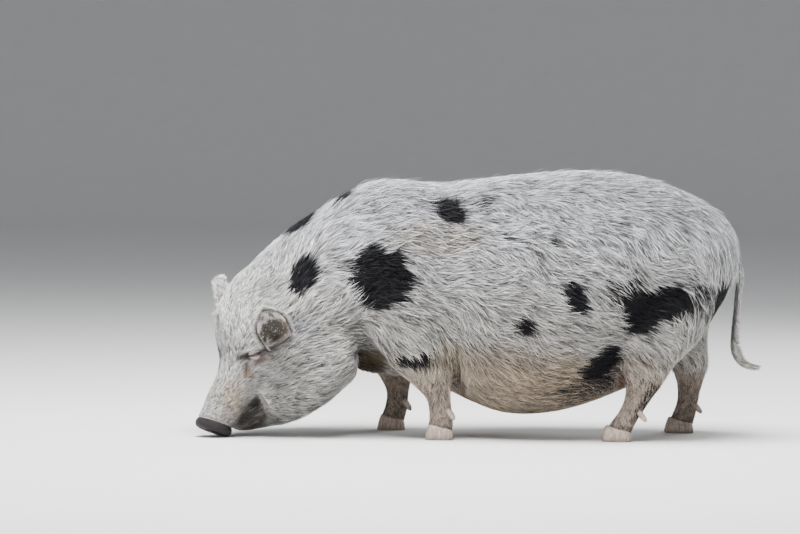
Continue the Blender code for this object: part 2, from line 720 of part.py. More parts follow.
def parted(body, locks):
    """The body's nodes, each with its locks: head, neck, torso and the four legs."""
    nodes = {}
    for name in LEGS:
        leg = copy_of(body, LEG_NODES[name])
        nodes[LEG_NODES[name]] = largest(boolean(leg, sleeve(name, -GAP / 2), "INTERSECT"))
    head, torso, neck = (clothed(copy_of(body, name), locks[name]) for name in ("head", "torso", "neck"))
    bpy.data.objects.remove(body)
    for obj in (torso, neck):
        for name in LEGS:
            boolean(obj, sleeve(name, GAP / 2), "DIFFERENCE")
    boolean(head, half_space("front", HEAD_CUT, True, GAP / 2), "INTERSECT")
    boolean(torso, half_space("rear", NECK_CUT, False, GAP / 2), "INTERSECT")
    boolean(neck, half_space("front", HEAD_CUT, True, -GAP / 2), "DIFFERENCE")
    boolean(neck, half_space("rear", NECK_CUT, False, -GAP / 2), "DIFFERENCE")
    for obj in (head, torso, neck):
        nodes[obj.name] = largest(obj)
    return nodes


# Coat
def coat_share(place):
    """How long the coat is at a place: 1 on the body, 0 on the face and the legs."""
    ahead = float((np.array(place) - np.array(HEAD_PIVOT)) @ head_axis(1, 0, 0))
    low = max(step(place[2], *COAT_LOW), step(-place[0], *COAT_CHEST))
    return (1 - step(ahead, *COAT_FACE)) * low


def set_back(obj):
    """Moves the skin in by the coat's depth, so that the locks' tips keep the animal's outline."""
    places = [v.co - v.normal * COAT_DEPTH * coat_share(v.co) for v in obj.data.vertices]
    for vert, place in zip(obj.data.vertices, places):
        vert.co = place
    obj.data.update()


def lie_at(place, normal):
    """The way that the hair points at a place, along the skin."""
    total = np.zeros(3)
    for (x, y, z), direction in LIE:
        distance = np.linalg.norm(np.array((x, y, z)) - (place[0], abs(place[1]), place[2]))
        total += unit(np.array(direction)) / (distance**2 + LIE_SOFTNESS**2)
    return unit(total - normal * (total @ normal))


def turned(vector, axis, angle):
    """A vector turned about an axis that it is square to."""
    return vector * math.cos(angle) + np.cross(axis, vector) * math.sin(angle)


def scattered(form, draw, spacing):
    """Places spread evenly where the coat is long."""
    chosen = []
    for i in draw.permutation(len(form.data.vertices)):
        place = np.array(form.data.vertices[i].co)
        if coat_share(place) < 0.5:
            continue
        if not chosen or np.linalg.norm(np.array(chosen) - place, axis=1).min() > spacing:
            chosen.append(place)
    return chosen


def on_core(core, place):
    """The nearest place on the core and the way that its skin faces."""
    near, normal, _, _ = core.find_nearest(Vector(place))
    return np.array(near), np.array(normal)


def lock_form(core, place, size, draw):
    """One lock, which follows the core: its root, three-cornered sections, and its tip."""
    place, normal = on_core(core, place)
    run = turned(lie_at(place, normal), normal, draw.uniform(-LOCK_SWAY, LOCK_SWAY))
    curl = draw.uniform(-LOCK_CURL, LOCK_CURL)
    root, rings, reached = place + normal * COAT_DEPTH * LOCK_ROOT, [], 0.0
    for share, width, height, thick in LOCK_STATIONS:
        place, normal, run = onward(core, place, run, (share - reached) * LOCK_LENGTH * size, curl)
        reached = share
        across = np.cross(normal, run) * LOCK_WIDTH * size * width / 2
        feet = [on_core(core, place - across), on_core(core, place + across)]
        left, right = (foot + out * (COAT_DEPTH * height - LOCK_THICKNESS * thick) for foot, out in feet)
        rings.append([left, place + normal * COAT_DEPTH * height, right])
    place, normal, run = onward(core, place, run, (1 - reached) * LOCK_LENGTH * size, curl)
    return root, rings, place + normal * COAT_DEPTH * LOCK_TIP


def onward(core, place, run, distance, curl):
    """The next place along the core, its normal there, and the way that the lock goes on."""
    place, normal = on_core(core, place + run * distance)
    run = turned(run, normal, curl)
    return place, normal, unit(run - normal * (run @ normal))


def tapered(name, root, rings, tip):
    """A closed solid through three-cornered sections that is pointed at both ends."""
    bm = bmesh.new()
    start, end = bm.verts.new(root), bm.verts.new(tip)
    grid = [[bm.verts.new(p) for p in points] for points in rings]
    for k in range(3):
        n = (k + 1) % 3
        bm.faces.new((start, grid[0][n], grid[0][k]))
        for lower, upper in zip(grid, grid[1:]):
            bm.faces.new((lower[k], lower[n], upper[n]))
            bm.faces.new((lower[k], upper[n], upper[k]))
        bm.faces.new((grid[-1][k], grid[-1][n], end))
    outward(bm)
    return object_from(name, bm)


def beside(cut, nosewards, place, margin=0.0):
    """Whether a place lies on one side of a cut, by a margin, within the cut's reach."""
    top, down, nose, _ = cut_frame(cut)
    toward = nose if nosewards else -nose
    length = math.hypot(cut[2] - cut[0], cut[3] - cut[1])
    return (place - top) @ toward > margin and (place - top) @ down < length + cut[5] - margin


def node_at(place, margin=0.0):
    """The node that a place belongs to; with a margin, none where it is nearer than that to a cut."""
    if beside(HEAD_CUT, True, place, margin):
        return "head"
    if beside(NECK_CUT, False, place, margin):
        return "torso"
    near = beside(HEAD_CUT, True, place, -margin) or beside(NECK_CUT, False, place, -margin)
    return "" if near else "neck"


def outside(tree, place, margin):
    """Whether a place lies outside a closed surface, by a margin, told by how many faces a ray crosses."""
    if tree.find_nearest(Vector(place))[3] < margin:
        return False
    start, crossed = Vector(place), 0
    while True:
        hit, _, _, _ = tree.ray_cast(start, RAY)
        if hit is None:
            return crossed % 2 == 0
        crossed += 1
        start = hit + RAY * RAY_STEP


def fits(points, node, sleeves, kept_clear):
    """Whether a lock stays in its own node, over the floor and clear of legs, ears, eyes and tail."""
    if points[:, 2].min() < LOCK_FLOOR:
        return False
    if any(node_at(p, LOCK_MARGIN) != node for p in points):
        return False
    if any(not outside(tree, p, LOCK_MARGIN) for tree in sleeves for p in points):
        return False
    return min(np.linalg.norm(kept_clear - p, axis=1).min() for p in points) > LOCK_CLEARANCE


def locks_of(form, core, sleeves, kept_clear):
    """The coat's locks by the node that they grow from, shorter where a full one would cross another."""
    draw = np.random.default_rng(LOCK_SEED)
    locks = {"head": [], "neck": [], "torso": []}
    for place in scattered(form, draw, LOCK_SPACING):
        node = node_at(place)
        size = (0.70 + 0.30 * coat_share(place)) * draw.uniform(*LOCK_SIZES)
        for shortening in LOCK_SHORTENINGS:
            root, rings, tip = lock_form(core, place, size * shortening, draw)
            points = np.array([root] + [p for points in rings for p in points] + [tip])
            if fits(points, node, sleeves, kept_clear):
                locks[node].append((root, rings, tip))
                break
    return locks


def clothed(obj, locks):
    """Joins a node and its locks in one union."""
    pieces = bpy.data.collections.new("locks")
    for lock in locks:
        piece = tapered("lock", *lock)
        bpy.context.scene.collection.objects.unlink(piece)
        pieces.objects.link(piece)
    bpy.context.scene.collection.children.link(pieces)
    solved(obj, "UNION", {"operand_type": "COLLECTION", "collection": pieces})
    for piece in list(pieces.objects):
        bpy.data.objects.remove(piece)
    bpy.data.collections.remove(pieces)
    return largest(obj)


# Face
def eye_frame(tree, side):
    """The middle of an eye, the way that it looks, and the directions along and across its lids."""
    skin, _ = skin_at(tree, *EYE_PLACE, side)
    out = unit(mirrored(EYE_LOOK, side))
    along = head_axis(EYE_LINE[0], 0, EYE_LINE[1])
    along = unit(along - out * (along @ out))
    across = np.cross(out, along)
    if across[2] < 0:
        across = -across
    return skin - out * EYE_DEPTH, out, along, across


def lid(name, frame, upper):
    """One lid: a crescent that hugs the eye above or below the opening."""
    centre, out, along, across = frame
    radius = EYE_RADIUS + LID_THICKNESS / 2
    sign = 1 if upper else -1
    rings = []
    for s in np.linspace(-1, 1, LID_STEPS):
        turn = s * LID_TURN
        rise = sign * (LID_RISE * (1 - s * s) + 0.04)
        direction = out * math.cos(turn) * math.cos(rise) + along * math.sin(turn) * math.cos(rise)
        direction = direction + across * math.sin(rise)
        lateral = unit(across - direction * (across @ direction))
        size = 0.35 + 0.65 * math.sqrt(max(0.0, 1 - s * s))
        spot = centre + direction * radius
        rings.append(
            [
                spot
                + direction * LID_THICKNESS * size * math.cos(2 * math.pi * k / LID_SIDES)
                + lateral * LID_HEIGHT * size * math.sin(2 * math.pi * k / LID_SIDES)
                for k in range(LID_SIDES)
            ]
        )
    return loft(name, rings)


def eye_opening(name, frame):
    """An almond prism that opens the eye's pocket between the lids."""
    centre, out, along, across = frame
    rings = []
    for depth in (0.0, EYE_RADIUS + 0.02):
        points = []
        for k in range(EYE_SLIT_SIDES):
            angle = 2 * math.pi * k / EYE_SLIT_SIDES
            reach = along * EYE_SLIT[0] / 2 * math.cos(angle)
            rise = across * EYE_SLIT[1] / 2 * power_curve(math.sin(angle), 1.3)
            points.append(centre + out * depth + reach + rise)
        rings.append(points)
    return loft(name, rings)


def mouth_cutter(tree, side):
    """A thin curved wedge that cuts the line of the mouth into one side of the head."""
    path = spline(MOUTH, 3)
    rings = []
    for i, (ahead, height) in enumerate(path):
        before, after = path[max(i - 1, 0)], path[min(i + 1, len(path) - 1)]
        run = unit(after - before)
        across = head_axis(-run[1], 0, run[0]) * MOUTH_GAP / 2
        skin, _ = skin_at(tree, ahead, height, side)
        left = float((skin - np.array(HEAD_PIVOT)) @ head_axis(0, 1, 0)) * side
        inner = head_point(ahead, side * max(left - MOUTH_DEPTH, 0.004), height)
        outer = head_point(ahead, side * (left + 0.012), height)
        rings.append([inner - across * 0.3, outer - across, outer + across, inner + across * 0.3])
    return loft("mouth_cutter", rings)


def nose_frame():
    """The middle of the nose disc's inner face, its direction up the disc and the way that it faces."""
    top, low = head_point(NOSE_TOP[0], 0, NOSE_TOP[1]), head_point(NOSE_LOW[0], 0, NOSE_LOW[1])
    up = unit(top - low)
    face = np.cross(up, head_axis(0, 1, 0))
    if face[2] > 0:
        face = -face
    return (top + low) / 2, up, face, float(np.linalg.norm(top - low)) / 2


def nose_disc():
    """The flat nose with its rim, two nostrils, and a small flat where it presses on the ground."""
    centre, up, face, half = nose_frame()
    left = head_axis(0, 1, 0)
    rings = []
    for depth, size in NOSE_PROFILE:
        middle = centre + face * (GAP / 2 + depth * NOSE_THICKNESS)
        reach = up * half * size
        rings.append(ring(middle + reach, middle - reach, left, NOSE_HALF_WIDTH * size, sides=NOSE_SIDES))
    disc = loft("snout", rings)
    for side in (1, -1):
        rings = []
        for depth in (NOSE_THICKNESS - NOSTRIL[2], NOSE_THICKNESS + 0.01):
            middle = centre + face * depth + left * side * NOSTRIL_SPREAD
            reach = unit(up + left * side * NOSTRIL_TILT) * NOSTRIL[1]
            rings.append(ring(middle + reach, middle - reach, left, NOSTRIL[0], sides=NOSTRIL_SIDES))
        boolean(disc, loft("nostril", rings), "DIFFERENCE")
    floor = box("floor", (-1, -1, -0.2), ((1, 0, 0), (0, 1, 0), (0, 0, 1)), (2, 2, 0.2))
    return largest(boolean(disc, floor, "DIFFERENCE"))


def beyond_nose():
    """The space in front of the head's own end, where the nose disc sits."""
    centre, up, face, half = nose_frame()
    left = head_axis(0, 1, 0)
    corner = centre - up * (half + 0.010) - left * 0.06 - face * GAP / 2
    return box("beyond_nose", corner, (up, left, face), (2 * half + 0.05, 0.12, 0.06))


def ear_outline(t):
    """The width of the ear at a share of its length, from 0 at the root to 1 at the tip."""
    if t < EAR_BROADEST:
        narrow = EAR_ROOT_NARROWING * (EAR_BROADEST - t) / EAR_BROADEST
    else:
        narrow = EAR_TIP_NARROWING * (t - EAR_BROADEST) / (1 - EAR_BROADEST)
    return math.sqrt(1 - narrow**2)


def mirrored(direction, side):
    """A direction in the head's own plane, for its left side (1) or its right (-1)."""
    return head_axis(direction[0], side * direction[1], direction[2])


def ear(name, tree, side):
    """A cupped ear, open towards the front, with the same thickness all over."""
    word = name.split("_")[1]
    skin, _ = skin_at(tree, *EAR_ROOT[word], side)
    axis = unit(mirrored(EAR_AXIS[word], side))
    face = mirrored(EAR_FACE[word], side)
    face = unit(face - axis * (face @ axis))
    across = np.cross(axis, face)
    rows, columns = EAR_STEPS
    middle = np.zeros((rows, columns, 3))
    for i in range(rows):
        t = 1 - (1 - i / (rows - 1)) ** 1.6
        width = EAR_WIDTH / 2 * ear_outline(t)
        for j in range(columns):
            u = 2 * j / (columns - 1) - 1
            hollow = EAR_CUP * (1 - 0.55 * t) * (1 - u * u)
            bend = EAR_CURL * t * t
            place = skin + axis * (EAR_LENGTH * (t - EAR_SUNK) - 0.004 * u * u) + across * width * u
            middle[i, j] = place + face * (bend - hollow + EAR_STAND)
    down_rows = np.gradient(middle, axis=0)
    along_columns = np.gradient(middle, axis=1)
    normal = np.cross(down_rows, along_columns)
    normal /= np.linalg.norm(normal, axis=2, keepdims=True)
    return sheet_solid(name, middle, normal * EAR_THICKNESS / 2)


def sheet_solid(name, middle, half):
    """A closed solid round a grid of points, split into triangles alike on both faces."""
    rows, columns = middle.shape[:2]
    bm = bmesh.new()
    sides = [
        [[bm.verts.new(middle[i, j] + sign * half[i, j]) for j in range(columns)] for i in range(rows)]
        for sign in (1, -1)
    ]
    for grid in sides:
        for i in range(rows - 1):
            for j in range(columns - 1):
                a, b, c, d = grid[i][j], grid[i][j + 1], grid[i + 1][j + 1], grid[i + 1][j]
                bm.faces.new((a, b, c))
                bm.faces.new((a, c, d))
    rim = [(0, j) for j in range(columns)] + [(i, columns - 1) for i in range(1, rows)]
    rim += [(rows - 1, j) for j in range(columns - 2, -1, -1)] + [(i, 0) for i in range(rows - 2, 0, -1)]
    for (i, j), (m, n) in zip(rim, rim[1:] + rim[:1]):
        bm.faces.new((sides[0][i][j], sides[0][m][n], sides[1][m][n]))
        bm.faces.new((sides[0][i][j], sides[1][m][n], sides[1][i][j]))
    outward(bm)
    return object_from(name, bm)


# Feet and tail
def claw(name, foot, side):
    """One of the two claws of a foot, flat underneath and on the side that faces the cleft."""
    x, y, length, width = FEET[foot]
    half = (width - CLEFT / 2) / 2
    rings = []
    for height, size in CLAW_PROFILE:
        points = []
        for k in range(CLAW_SIDES):
            angle = 2 * math.pi * k / CLAW_SIDES
            along = -length * size * power_curve(math.cos(angle), 2.3)
            if along < 0:
                along *= 1 + CLAW_TOE * (1 - height)
            across = half * power_curve(math.sin(angle), 2.8)
            across = half + across * (size if across > 0 else 1)
            place = np.array((x + along, y + side * (CLEFT / 2 + across), 0.0))
            top = coronet(place, x, -GAP / 2)[2]
            place[2] = top * height
            points.append(place)
        rings.append(points)
    return loft(name, rings)


def dewclaw(name, foot, side):
    """A small blunt claw behind the pastern."""
    stations = spline(LEGS[foot], 12)
    x, y, z, long, wide = min(stations, key=lambda row: abs(row[2] - DEWCLAW_HEIGHT))
    start = np.array((x + long * 0.55, y + side * DEWCLAW_SPREAD, DEWCLAW_HEIGHT))
    run = unit(np.array((0.62, side * 0.16, -0.76)))
    across = unit(np.cross(run, (0, 1.0, 0)))
    third = np.cross(run, across)
    rings = []
    for share, radius in DEWCLAW_PROFILE:
        middle = start + run * DEWCLAW_LENGTH * share
        reach = across * radius
        rings.append(ring(middle + reach, middle - reach, third, radius * 1.15, sides=DEWCLAW_SIDES))
    return loft(name, rings)


def tail_rows():
    """Middles of the tail with the way that it runs, its half thickness and half width."""
    rows = spline(TAIL, 2)
    for i, (x, z, thick, wide) in enumerate(rows):
        before, after = rows[max(i - 1, 0)], rows[min(i + 1, len(rows) - 1)]
        run = unit(np.array((after[0] - before[0], 0, after[1] - before[1])))
        yield np.array((x, TAIL_Y, z)), run, thick, wide


def tail_form():
    """The hanging tail out to the tip of its tuft."""
    rings = []
    for middle, run, thick, wide in tail_rows():
        reach = np.array((-run[2], 0, run[0])) * thick
        rings.append(ring(middle + reach, middle - reach, side_axis(0), wide, sides=TAIL_SIDES))
    return loft("tail", rings)


# Finish
def material(name, colour, roughness):
    """A Principled material in one colour."""
    made = bpy.data.materials.new(name)
    made.use_nodes = True
    shader = made.node_tree.nodes["Principled BSDF"]
    shader.inputs["Base Color"].default_value = (*colour, 1.0)
    shader.inputs["Roughness"].default_value = roughness
    shader.inputs["Metallic"].default_value = 0.0
    made.diffuse_color = (*colour, 1.0)
    return made


def painted(obj, name, colour, roughness):
    obj.data.materials.clear()
    obj.data.materials.append(material(name, colour, roughness))
    obj.data.shade_flat()
    return obj


def clear_scene():
    for obj in list(bpy.data.objects):
        bpy.data.objects.remove(obj)


def faced(nodes, tree):
    """Cuts the face into the head, and adds eyes, ears and the nose disc."""
    head = nodes["head"]
    boolean(head, beyond_nose(), "DIFFERENCE")
    for side, word in ((1, "left"), (-1, "right")):
        frame = eye_frame(tree, side)
        for upper in (True, False):
            boolean(head, lid("lid", frame, upper), "UNION")
        boolean(head, ball("pocket", frame[0], EYE_RADIUS + 1.2 * GAP, *EYE_FACETS), "DIFFERENCE")
        boolean(head, eye_opening("opening", frame), "DIFFERENCE")
        boolean(head, mouth_cutter(tree, side), "DIFFERENCE")
        nodes[f"eye_{word}"] = ball(f"eye_{word}", frame[0], EYE_RADIUS, *EYE_FACETS)
        nodes[f"ear_{word}"] = ear(f"ear_{word}", tree, side)
    largest(head)
    for word in ("left", "right"):
        clear_of(nodes[f"ear_{word}"], head)
    nodes["snout"] = nose_disc()


def footed(nodes):
    """Adds two claws and two dewclaws to each foot."""
    for foot, (_, y, _, _) in FEET.items():
        for side in (1, -1):
            place = f"{foot}_{'outer' if side * y > 0 else 'inner'}"
            nodes[f"hoof_{place}"] = claw(f"hoof_{place}", foot, side)
            spur = dewclaw(f"dewclaw_{place}", foot, side)
            nodes[f"dewclaw_{place}"] = clear_of(spur, nodes[LEG_NODES[foot]])


def sleeve_trees():
    """The surfaces round the legs, which the locks keep out of."""
    trees = []
    for name in LEGS:
        shape = sleeve(name, GAP / 2)
        trees.append(surface_tree(shape))
        bpy.data.objects.remove(shape)
    return trees


def proven(nodes):
    """Stops the build where a node is open or reaches past the cuts that part it from its neighbours."""
    sides = [("head", HEAD_CUT, 1), ("neck", HEAD_CUT, -1), ("neck", NECK_CUT, 1), ("torso", NECK_CUT, -1)]
    for name, cut, sign in sides:
        top, _, nose, _ = cut_frame(cut)
        places = np.array([v.co[:] for v in nodes[name].data.vertices])
        past = -(sign * ((places - top) @ nose)).min()
        if past > 0:
            raise ValueError(f"{name} reaches {past * 1000:.1f} mm past a cut")
    for name, obj in nodes.items():
        if litres(obj.data) is None:
            raise ValueError(f"{name} isn't closed")


def kept_clear_places(tree):
    """Places on the ears, the eyes and the tail, from which the locks keep away."""
    places = [middle for middle, _, _, _ in tail_rows()]
    for side, word in ((1, "left"), (-1, "right")):
        places.append(eye_frame(tree, side)[0])
        shape = ear(f"ear_{word}", tree, side)
        places += [np.array(v.co) for v in shape.data.vertices]
        bpy.data.objects.remove(shape)
    return np.array(places)


def main():
    clear_scene()
    form = body_form()
    core = copy_of(form, "core")
    set_back(core)
    kept_clear = kept_clear_places(surface_tree(form))
    locks = locks_of(form, surface_tree(core), sleeve_trees(), kept_clear)
    bpy.data.objects.remove(form)
    body = simplified(core, CORE_TRIANGLES)
    tree = surface_tree(body)
    nodes = parted(body, locks)
    faced(nodes, tree)
    footed(nodes)
    nodes["tail"] = clear_of(tail_form(), nodes["torso"])
    proven(nodes)
    for name, obj in nodes.items():
        finish = next(rest for start, *rest in FINISHES if name.startswith(start))
        painted(obj, name, *finish)
        obj.location = -Vector(ORIGIN)


main()
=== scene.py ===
"""The dressed look of a spotted Göttingen minipig that roots with its snout on the ground.

Frame: +Z up, floor at Z = 0, the animal's nose towards -X, its tail towards +X, its left side towards -Y.
The forms are those of the solids, blended more finely into one skin, with a coat of fine tufts over it.
"""

import json
import math

import bmesh
import bpy
import numpy as np
from mathutils import Matrix, Vector
from mathutils.bvhtree import BVHTree
from mathutils.kdtree import KDTree

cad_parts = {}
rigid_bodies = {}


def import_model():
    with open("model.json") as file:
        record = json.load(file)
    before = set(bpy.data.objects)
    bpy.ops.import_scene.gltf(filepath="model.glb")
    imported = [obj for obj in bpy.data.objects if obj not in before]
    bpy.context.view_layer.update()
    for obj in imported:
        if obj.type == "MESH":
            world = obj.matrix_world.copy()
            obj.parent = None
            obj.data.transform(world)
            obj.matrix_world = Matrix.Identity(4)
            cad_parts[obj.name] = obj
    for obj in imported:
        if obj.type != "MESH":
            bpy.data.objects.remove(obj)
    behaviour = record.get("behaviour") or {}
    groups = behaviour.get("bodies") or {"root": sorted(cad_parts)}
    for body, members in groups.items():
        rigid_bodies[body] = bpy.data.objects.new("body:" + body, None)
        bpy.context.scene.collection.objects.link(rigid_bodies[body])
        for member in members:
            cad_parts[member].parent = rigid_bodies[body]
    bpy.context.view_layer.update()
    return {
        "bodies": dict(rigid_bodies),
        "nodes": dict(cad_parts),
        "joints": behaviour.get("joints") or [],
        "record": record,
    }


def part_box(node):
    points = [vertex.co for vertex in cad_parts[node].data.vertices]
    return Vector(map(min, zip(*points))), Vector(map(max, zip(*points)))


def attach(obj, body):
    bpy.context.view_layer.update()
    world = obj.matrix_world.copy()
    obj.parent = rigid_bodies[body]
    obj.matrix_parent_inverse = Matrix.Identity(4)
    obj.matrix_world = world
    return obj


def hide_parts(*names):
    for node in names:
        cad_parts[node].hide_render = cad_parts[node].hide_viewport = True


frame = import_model()

# Driving dimensions, in metres
ORIGIN = np.array((0.0112, -0.0030, 0.0))  # middle of the floor area, in the coordinates used for the forms
VOXEL = 0.0030  # grid on which the body's masses are blended
BLEND_ROUNDS = 33  # smoothing rounds after blending
RING_SIDES = 28
SPAN_STEPS = 5  # rings added between two stations
GAP = 0.0003  # between a node and the next
ROUNDNESS = 2.1  # of a section: 2 is an ellipse, and more is squarer
TRUNK_ROUNDNESS = 2.15  # of the trunk's upper half
NECK_WIDEST = 0.45  # height of the widest level as a share
JOWL_WIDEST = 0.42
ALONG_Y = np.array((0.0, 1.0, 0.0))
SIDES = {"left": 1, "right": -1}
HEAD_YAW = 32.0  # degrees that the head turns to its left
HEAD_PIVOT = Vector((-0.2915, -0.012, 0.0))
BESIDE_HEAD = 0.3  # how far out the rays start that look for the head's skin
SEED = 7

# The photograph: metres in one pixel at the animal, lens, and the camera's tilt and roll in degrees
PIXEL = 0.00167
LENS = 200.0
SENSOR = 36.0
PHOTO = (800, 534)
PHOTO_ZERO = (470.0, 434.5)  # the pixel of X = 0 and Z = 0
ELEVATION = 2.5
ROLL = 0.6

# Lights: name, place, size and power
LIGHTS = [
    ("sky", (-0.3, -0.5, 2.7), 2.0, 320.0),
    ("fill", (-1.8, -3.2, 1.3), 2.2, 46.0),
    ("rim", (1.8, 2.0, 1.8), 1.8, 50.0),
]
LIT_POINT = (0, 0, 0.2)
SKY_COLOUR = (0.86, 0.89, 0.94, 1.0)
SKY_STRENGTH = 0.34
FLOOR_FLAT = 10.0  # radius of the flat floor
FLOOR_BEND = 4.0  # radius of the bend at its edge
FLOOR_RIM = 7.0  # height of the edge
FLOOR_SIDES = 96

# Trunk stations: x, z of the back, z of the belly, half width, height of the widest level as a share,
# roundness below
TRUNK = [
    (0.448, 0.320, 0.283, 0.024, 0.50, 2.0),
    (0.441, 0.345, 0.260, 0.064, 0.50, 2.0),
    (0.425, 0.366, 0.232, 0.096, 0.50, 2.0),
    (0.400, 0.387, 0.190, 0.120, 0.52, 1.9),
    (0.362, 0.409, 0.142, 0.137, 0.54, 1.8),
    (0.310, 0.429, 0.104, 0.150, 0.55, 1.7),
    (0.255, 0.441, 0.078, 0.160, 0.50, 1.9),
    (0.195, 0.445, 0.054, 0.166, 0.46, 2.1),
    (0.128, 0.442, 0.038, 0.169, 0.43, 2.2),
    (0.060, 0.435, 0.038, 0.165, 0.44, 2.2),
    (0.003, 0.428, 0.057, 0.155, 0.47, 2.1),
    (-0.050, 0.421, 0.082, 0.141, 0.52, 1.9),
    (-0.100, 0.426, 0.096, 0.132, 0.56, 1.7),
    (-0.150, 0.426, 0.100, 0.122, 0.58, 1.6),
    (-0.190, 0.414, 0.108, 0.111, 0.60, 1.6),
    (-0.225, 0.385, 0.130, 0.089, 0.60, 1.7),
    (-0.250, 0.340, 0.170, 0.056, 0.55, 2.0),
]
# Neck stations: x and z of the crest, x and z of the throat, side shift, yaw in degrees, half width
NECK = [
    (-0.090, 0.400, -0.090, 0.200, 0.000, 0, 0.105),
    (-0.140, 0.416, -0.140, 0.165, 0.000, 2, 0.122),
    (-0.190, 0.412, -0.185, 0.130, 0.000, 5, 0.130),
    (-0.240, 0.384, -0.215, 0.100, -0.003, 11, 0.128),
    (-0.285, 0.354, -0.245, 0.080, -0.009, 18, 0.124),
    (-0.322, 0.321, -0.275, 0.065, -0.019, 25, 0.115),
    (-0.352, 0.291, -0.305, 0.055, -0.032, 30, 0.101),
    (-0.378, 0.262, -0.335, 0.055, -0.045, 32, 0.085),
    (-0.398, 0.228, -0.360, 0.075, -0.056, 32, 0.060),
]
# Jowl stations: x and z of the upper edge, x and z of the lower edge, side shift, yaw, half width
JOWL = [
    (-0.184, 0.165, -0.184, 0.125, 0.000, 4, 0.045),
    (-0.194, 0.205, -0.194, 0.100, -0.001, 5, 0.098),
    (-0.215, 0.235, -0.212, 0.079, -0.003, 9, 0.122),
    (-0.245, 0.245, -0.240, 0.056, -0.008, 15, 0.131),
    (-0.280, 0.240, -0.272, 0.036, -0.017, 22, 0.128),
    (-0.312, 0.220, -0.302, 0.021, -0.030, 28, 0.112),
    (-0.340, 0.180, -0.328, 0.014, -0.043, 31, 0.086),
    (-0.362, 0.130, -0.352, 0.012, -0.055, 32, 0.056),
    (-0.380, 0.085, -0.372, 0.016, -0.065, 32, 0.030),
]
# Head stations in the head's own plane: distance ahead of the pivot and z of the brow line, the same for
# the lip line, half width, height of the widest level as a share
HEAD = [
    (0.052, 0.296, -0.022, 0.190, 0.070, 0.5),
    (0.086, 0.281, -0.004, 0.165, 0.076, 0.5),
    (0.112, 0.257, 0.008, 0.140, 0.077, 0.5),
    (0.129, 0.230, 0.018, 0.120, 0.076, 0.5),
    (0.138, 0.203, 0.030, 0.100, 0.074, 0.5),
    (0.138, 0.172, 0.045, 0.082, 0.068, 0.5),
    (0.131, 0.140, 0.064, 0.066, 0.057, 0.5),
    (0.138, 0.108, 0.083, 0.050, 0.046, 0.5),
    (0.1545, 0.080, 0.102, 0.036, 0.040, 0.5),
    (0.1675, 0.055, 0.117, 0.022, 0.035, 0.5),
    (0.1755, 0.040, 0.126, 0.012, 0.032, 0.5),
    (0.184, 0.026, 0.134, 0.000, 0.031, 0.5),
]
# Jaw stations in the same order, from the lips down
JAW = [
    (0.030, 0.120, 0.000, 0.030, 0.060, 0.5),
    (0.060, 0.095, 0.030, 0.016, 0.050, 0.5),
    (0.085, 0.066, 0.062, 0.010, 0.036, 0.5),
    (0.105, 0.044, 0.090, 0.007, 0.026, 0.5),
    (0.118, 0.030, 0.108, 0.008, 0.018, 0.5),
    (0.122, 0.022, 0.116, 0.012, 0.009, 0.5),
]
# Leg stations from the top down: z, y on the left, then x, half length along x and half width along y of the
# left leg, and the same of the right leg, which stands in another place
FORELEGS = [
    (0.300, -0.082, (-0.108, 0.050, 0.036), (-0.125, 0.050, 0.036)),
    (0.235, -0.090, (-0.106, 0.080, 0.048), (-0.130, 0.078, 0.048)),
    (0.175, -0.098, (-0.098, 0.071, 0.044), (-0.128, 0.066, 0.044)),
    (0.128, -0.100, (-0.084, 0.052, 0.037), (-0.126, 0.047, 0.037)),
    (0.096, -0.099, (-0.066, 0.035, 0.028), (-0.123, 0.031, 0.028)),
    (0.070, -0.098, (-0.052, 0.0215, 0.0215), (-0.119, 0.0205, 0.0215)),
    (0.050, -0.098, (-0.048, 0.0195, 0.0200), (-0.119, 0.0190, 0.0200)),
    (0.033, -0.098, (-0.046, 0.0205, 0.0235), (-0.122, 0.0205, 0.0235)),
    (0.018, -0.098, (-0.048, 0.0210, 0.0240), (-0.127, 0.0210, 0.0240)),
    (0.004, -0.098, (-0.049, 0.0210, 0.0240), (-0.130, 0.0210, 0.0240)),
]
HINDLEGS = [
    (0.310, -0.070, (0.330, 0.060, 0.040), (0.345, 0.055, 0.040)),
    (0.245, -0.088, (0.325, 0.082, 0.054), (0.345, 0.070, 0.054)),
    (0.190, -0.098, (0.312, 0.080, 0.052), (0.346, 0.063, 0.050)),
    (0.150, -0.100, (0.300, 0.062, 0.043), (0.358, 0.048, 0.041)),
    (0.122, -0.099, (0.290, 0.043, 0.032), (0.372, 0.036, 0.031)),
    (0.098, -0.098, (0.289, 0.0315, 0.0245), (0.376, 0.0265, 0.0245)),
    (0.072, -0.098, (0.279, 0.0235, 0.0200), (0.375, 0.0200, 0.0200)),
    (0.048, -0.098, (0.266, 0.0205, 0.0200), (0.372, 0.0190, 0.0200)),
    (0.032, -0.098, (0.255, 0.0215, 0.0235), (0.367, 0.0205, 0.0235)),
    (0.018, -0.098, (0.248, 0.0215, 0.0240), (0.362, 0.0215, 0.0240)),
    (0.004, -0.098, (0.243, 0.0215, 0.0240), (0.359, 0.0215, 0.0240)),
]
# The stations of each leg as x, y, z, half length and half width
LEGS = {
    f"{pair}_{word}": [(row[k][0], y_sign * row[1], row[0], *row[k][1:]) for row in rows]
    for pair, rows in (("fore", FORELEGS), ("hind", HINDLEGS))
    for word, k, y_sign in (("left", 2, 1), ("right", 3, -1))
}
LEG_NODES = {name: f"{name[:4]}leg_{name[5:]}" for name in LEGS}

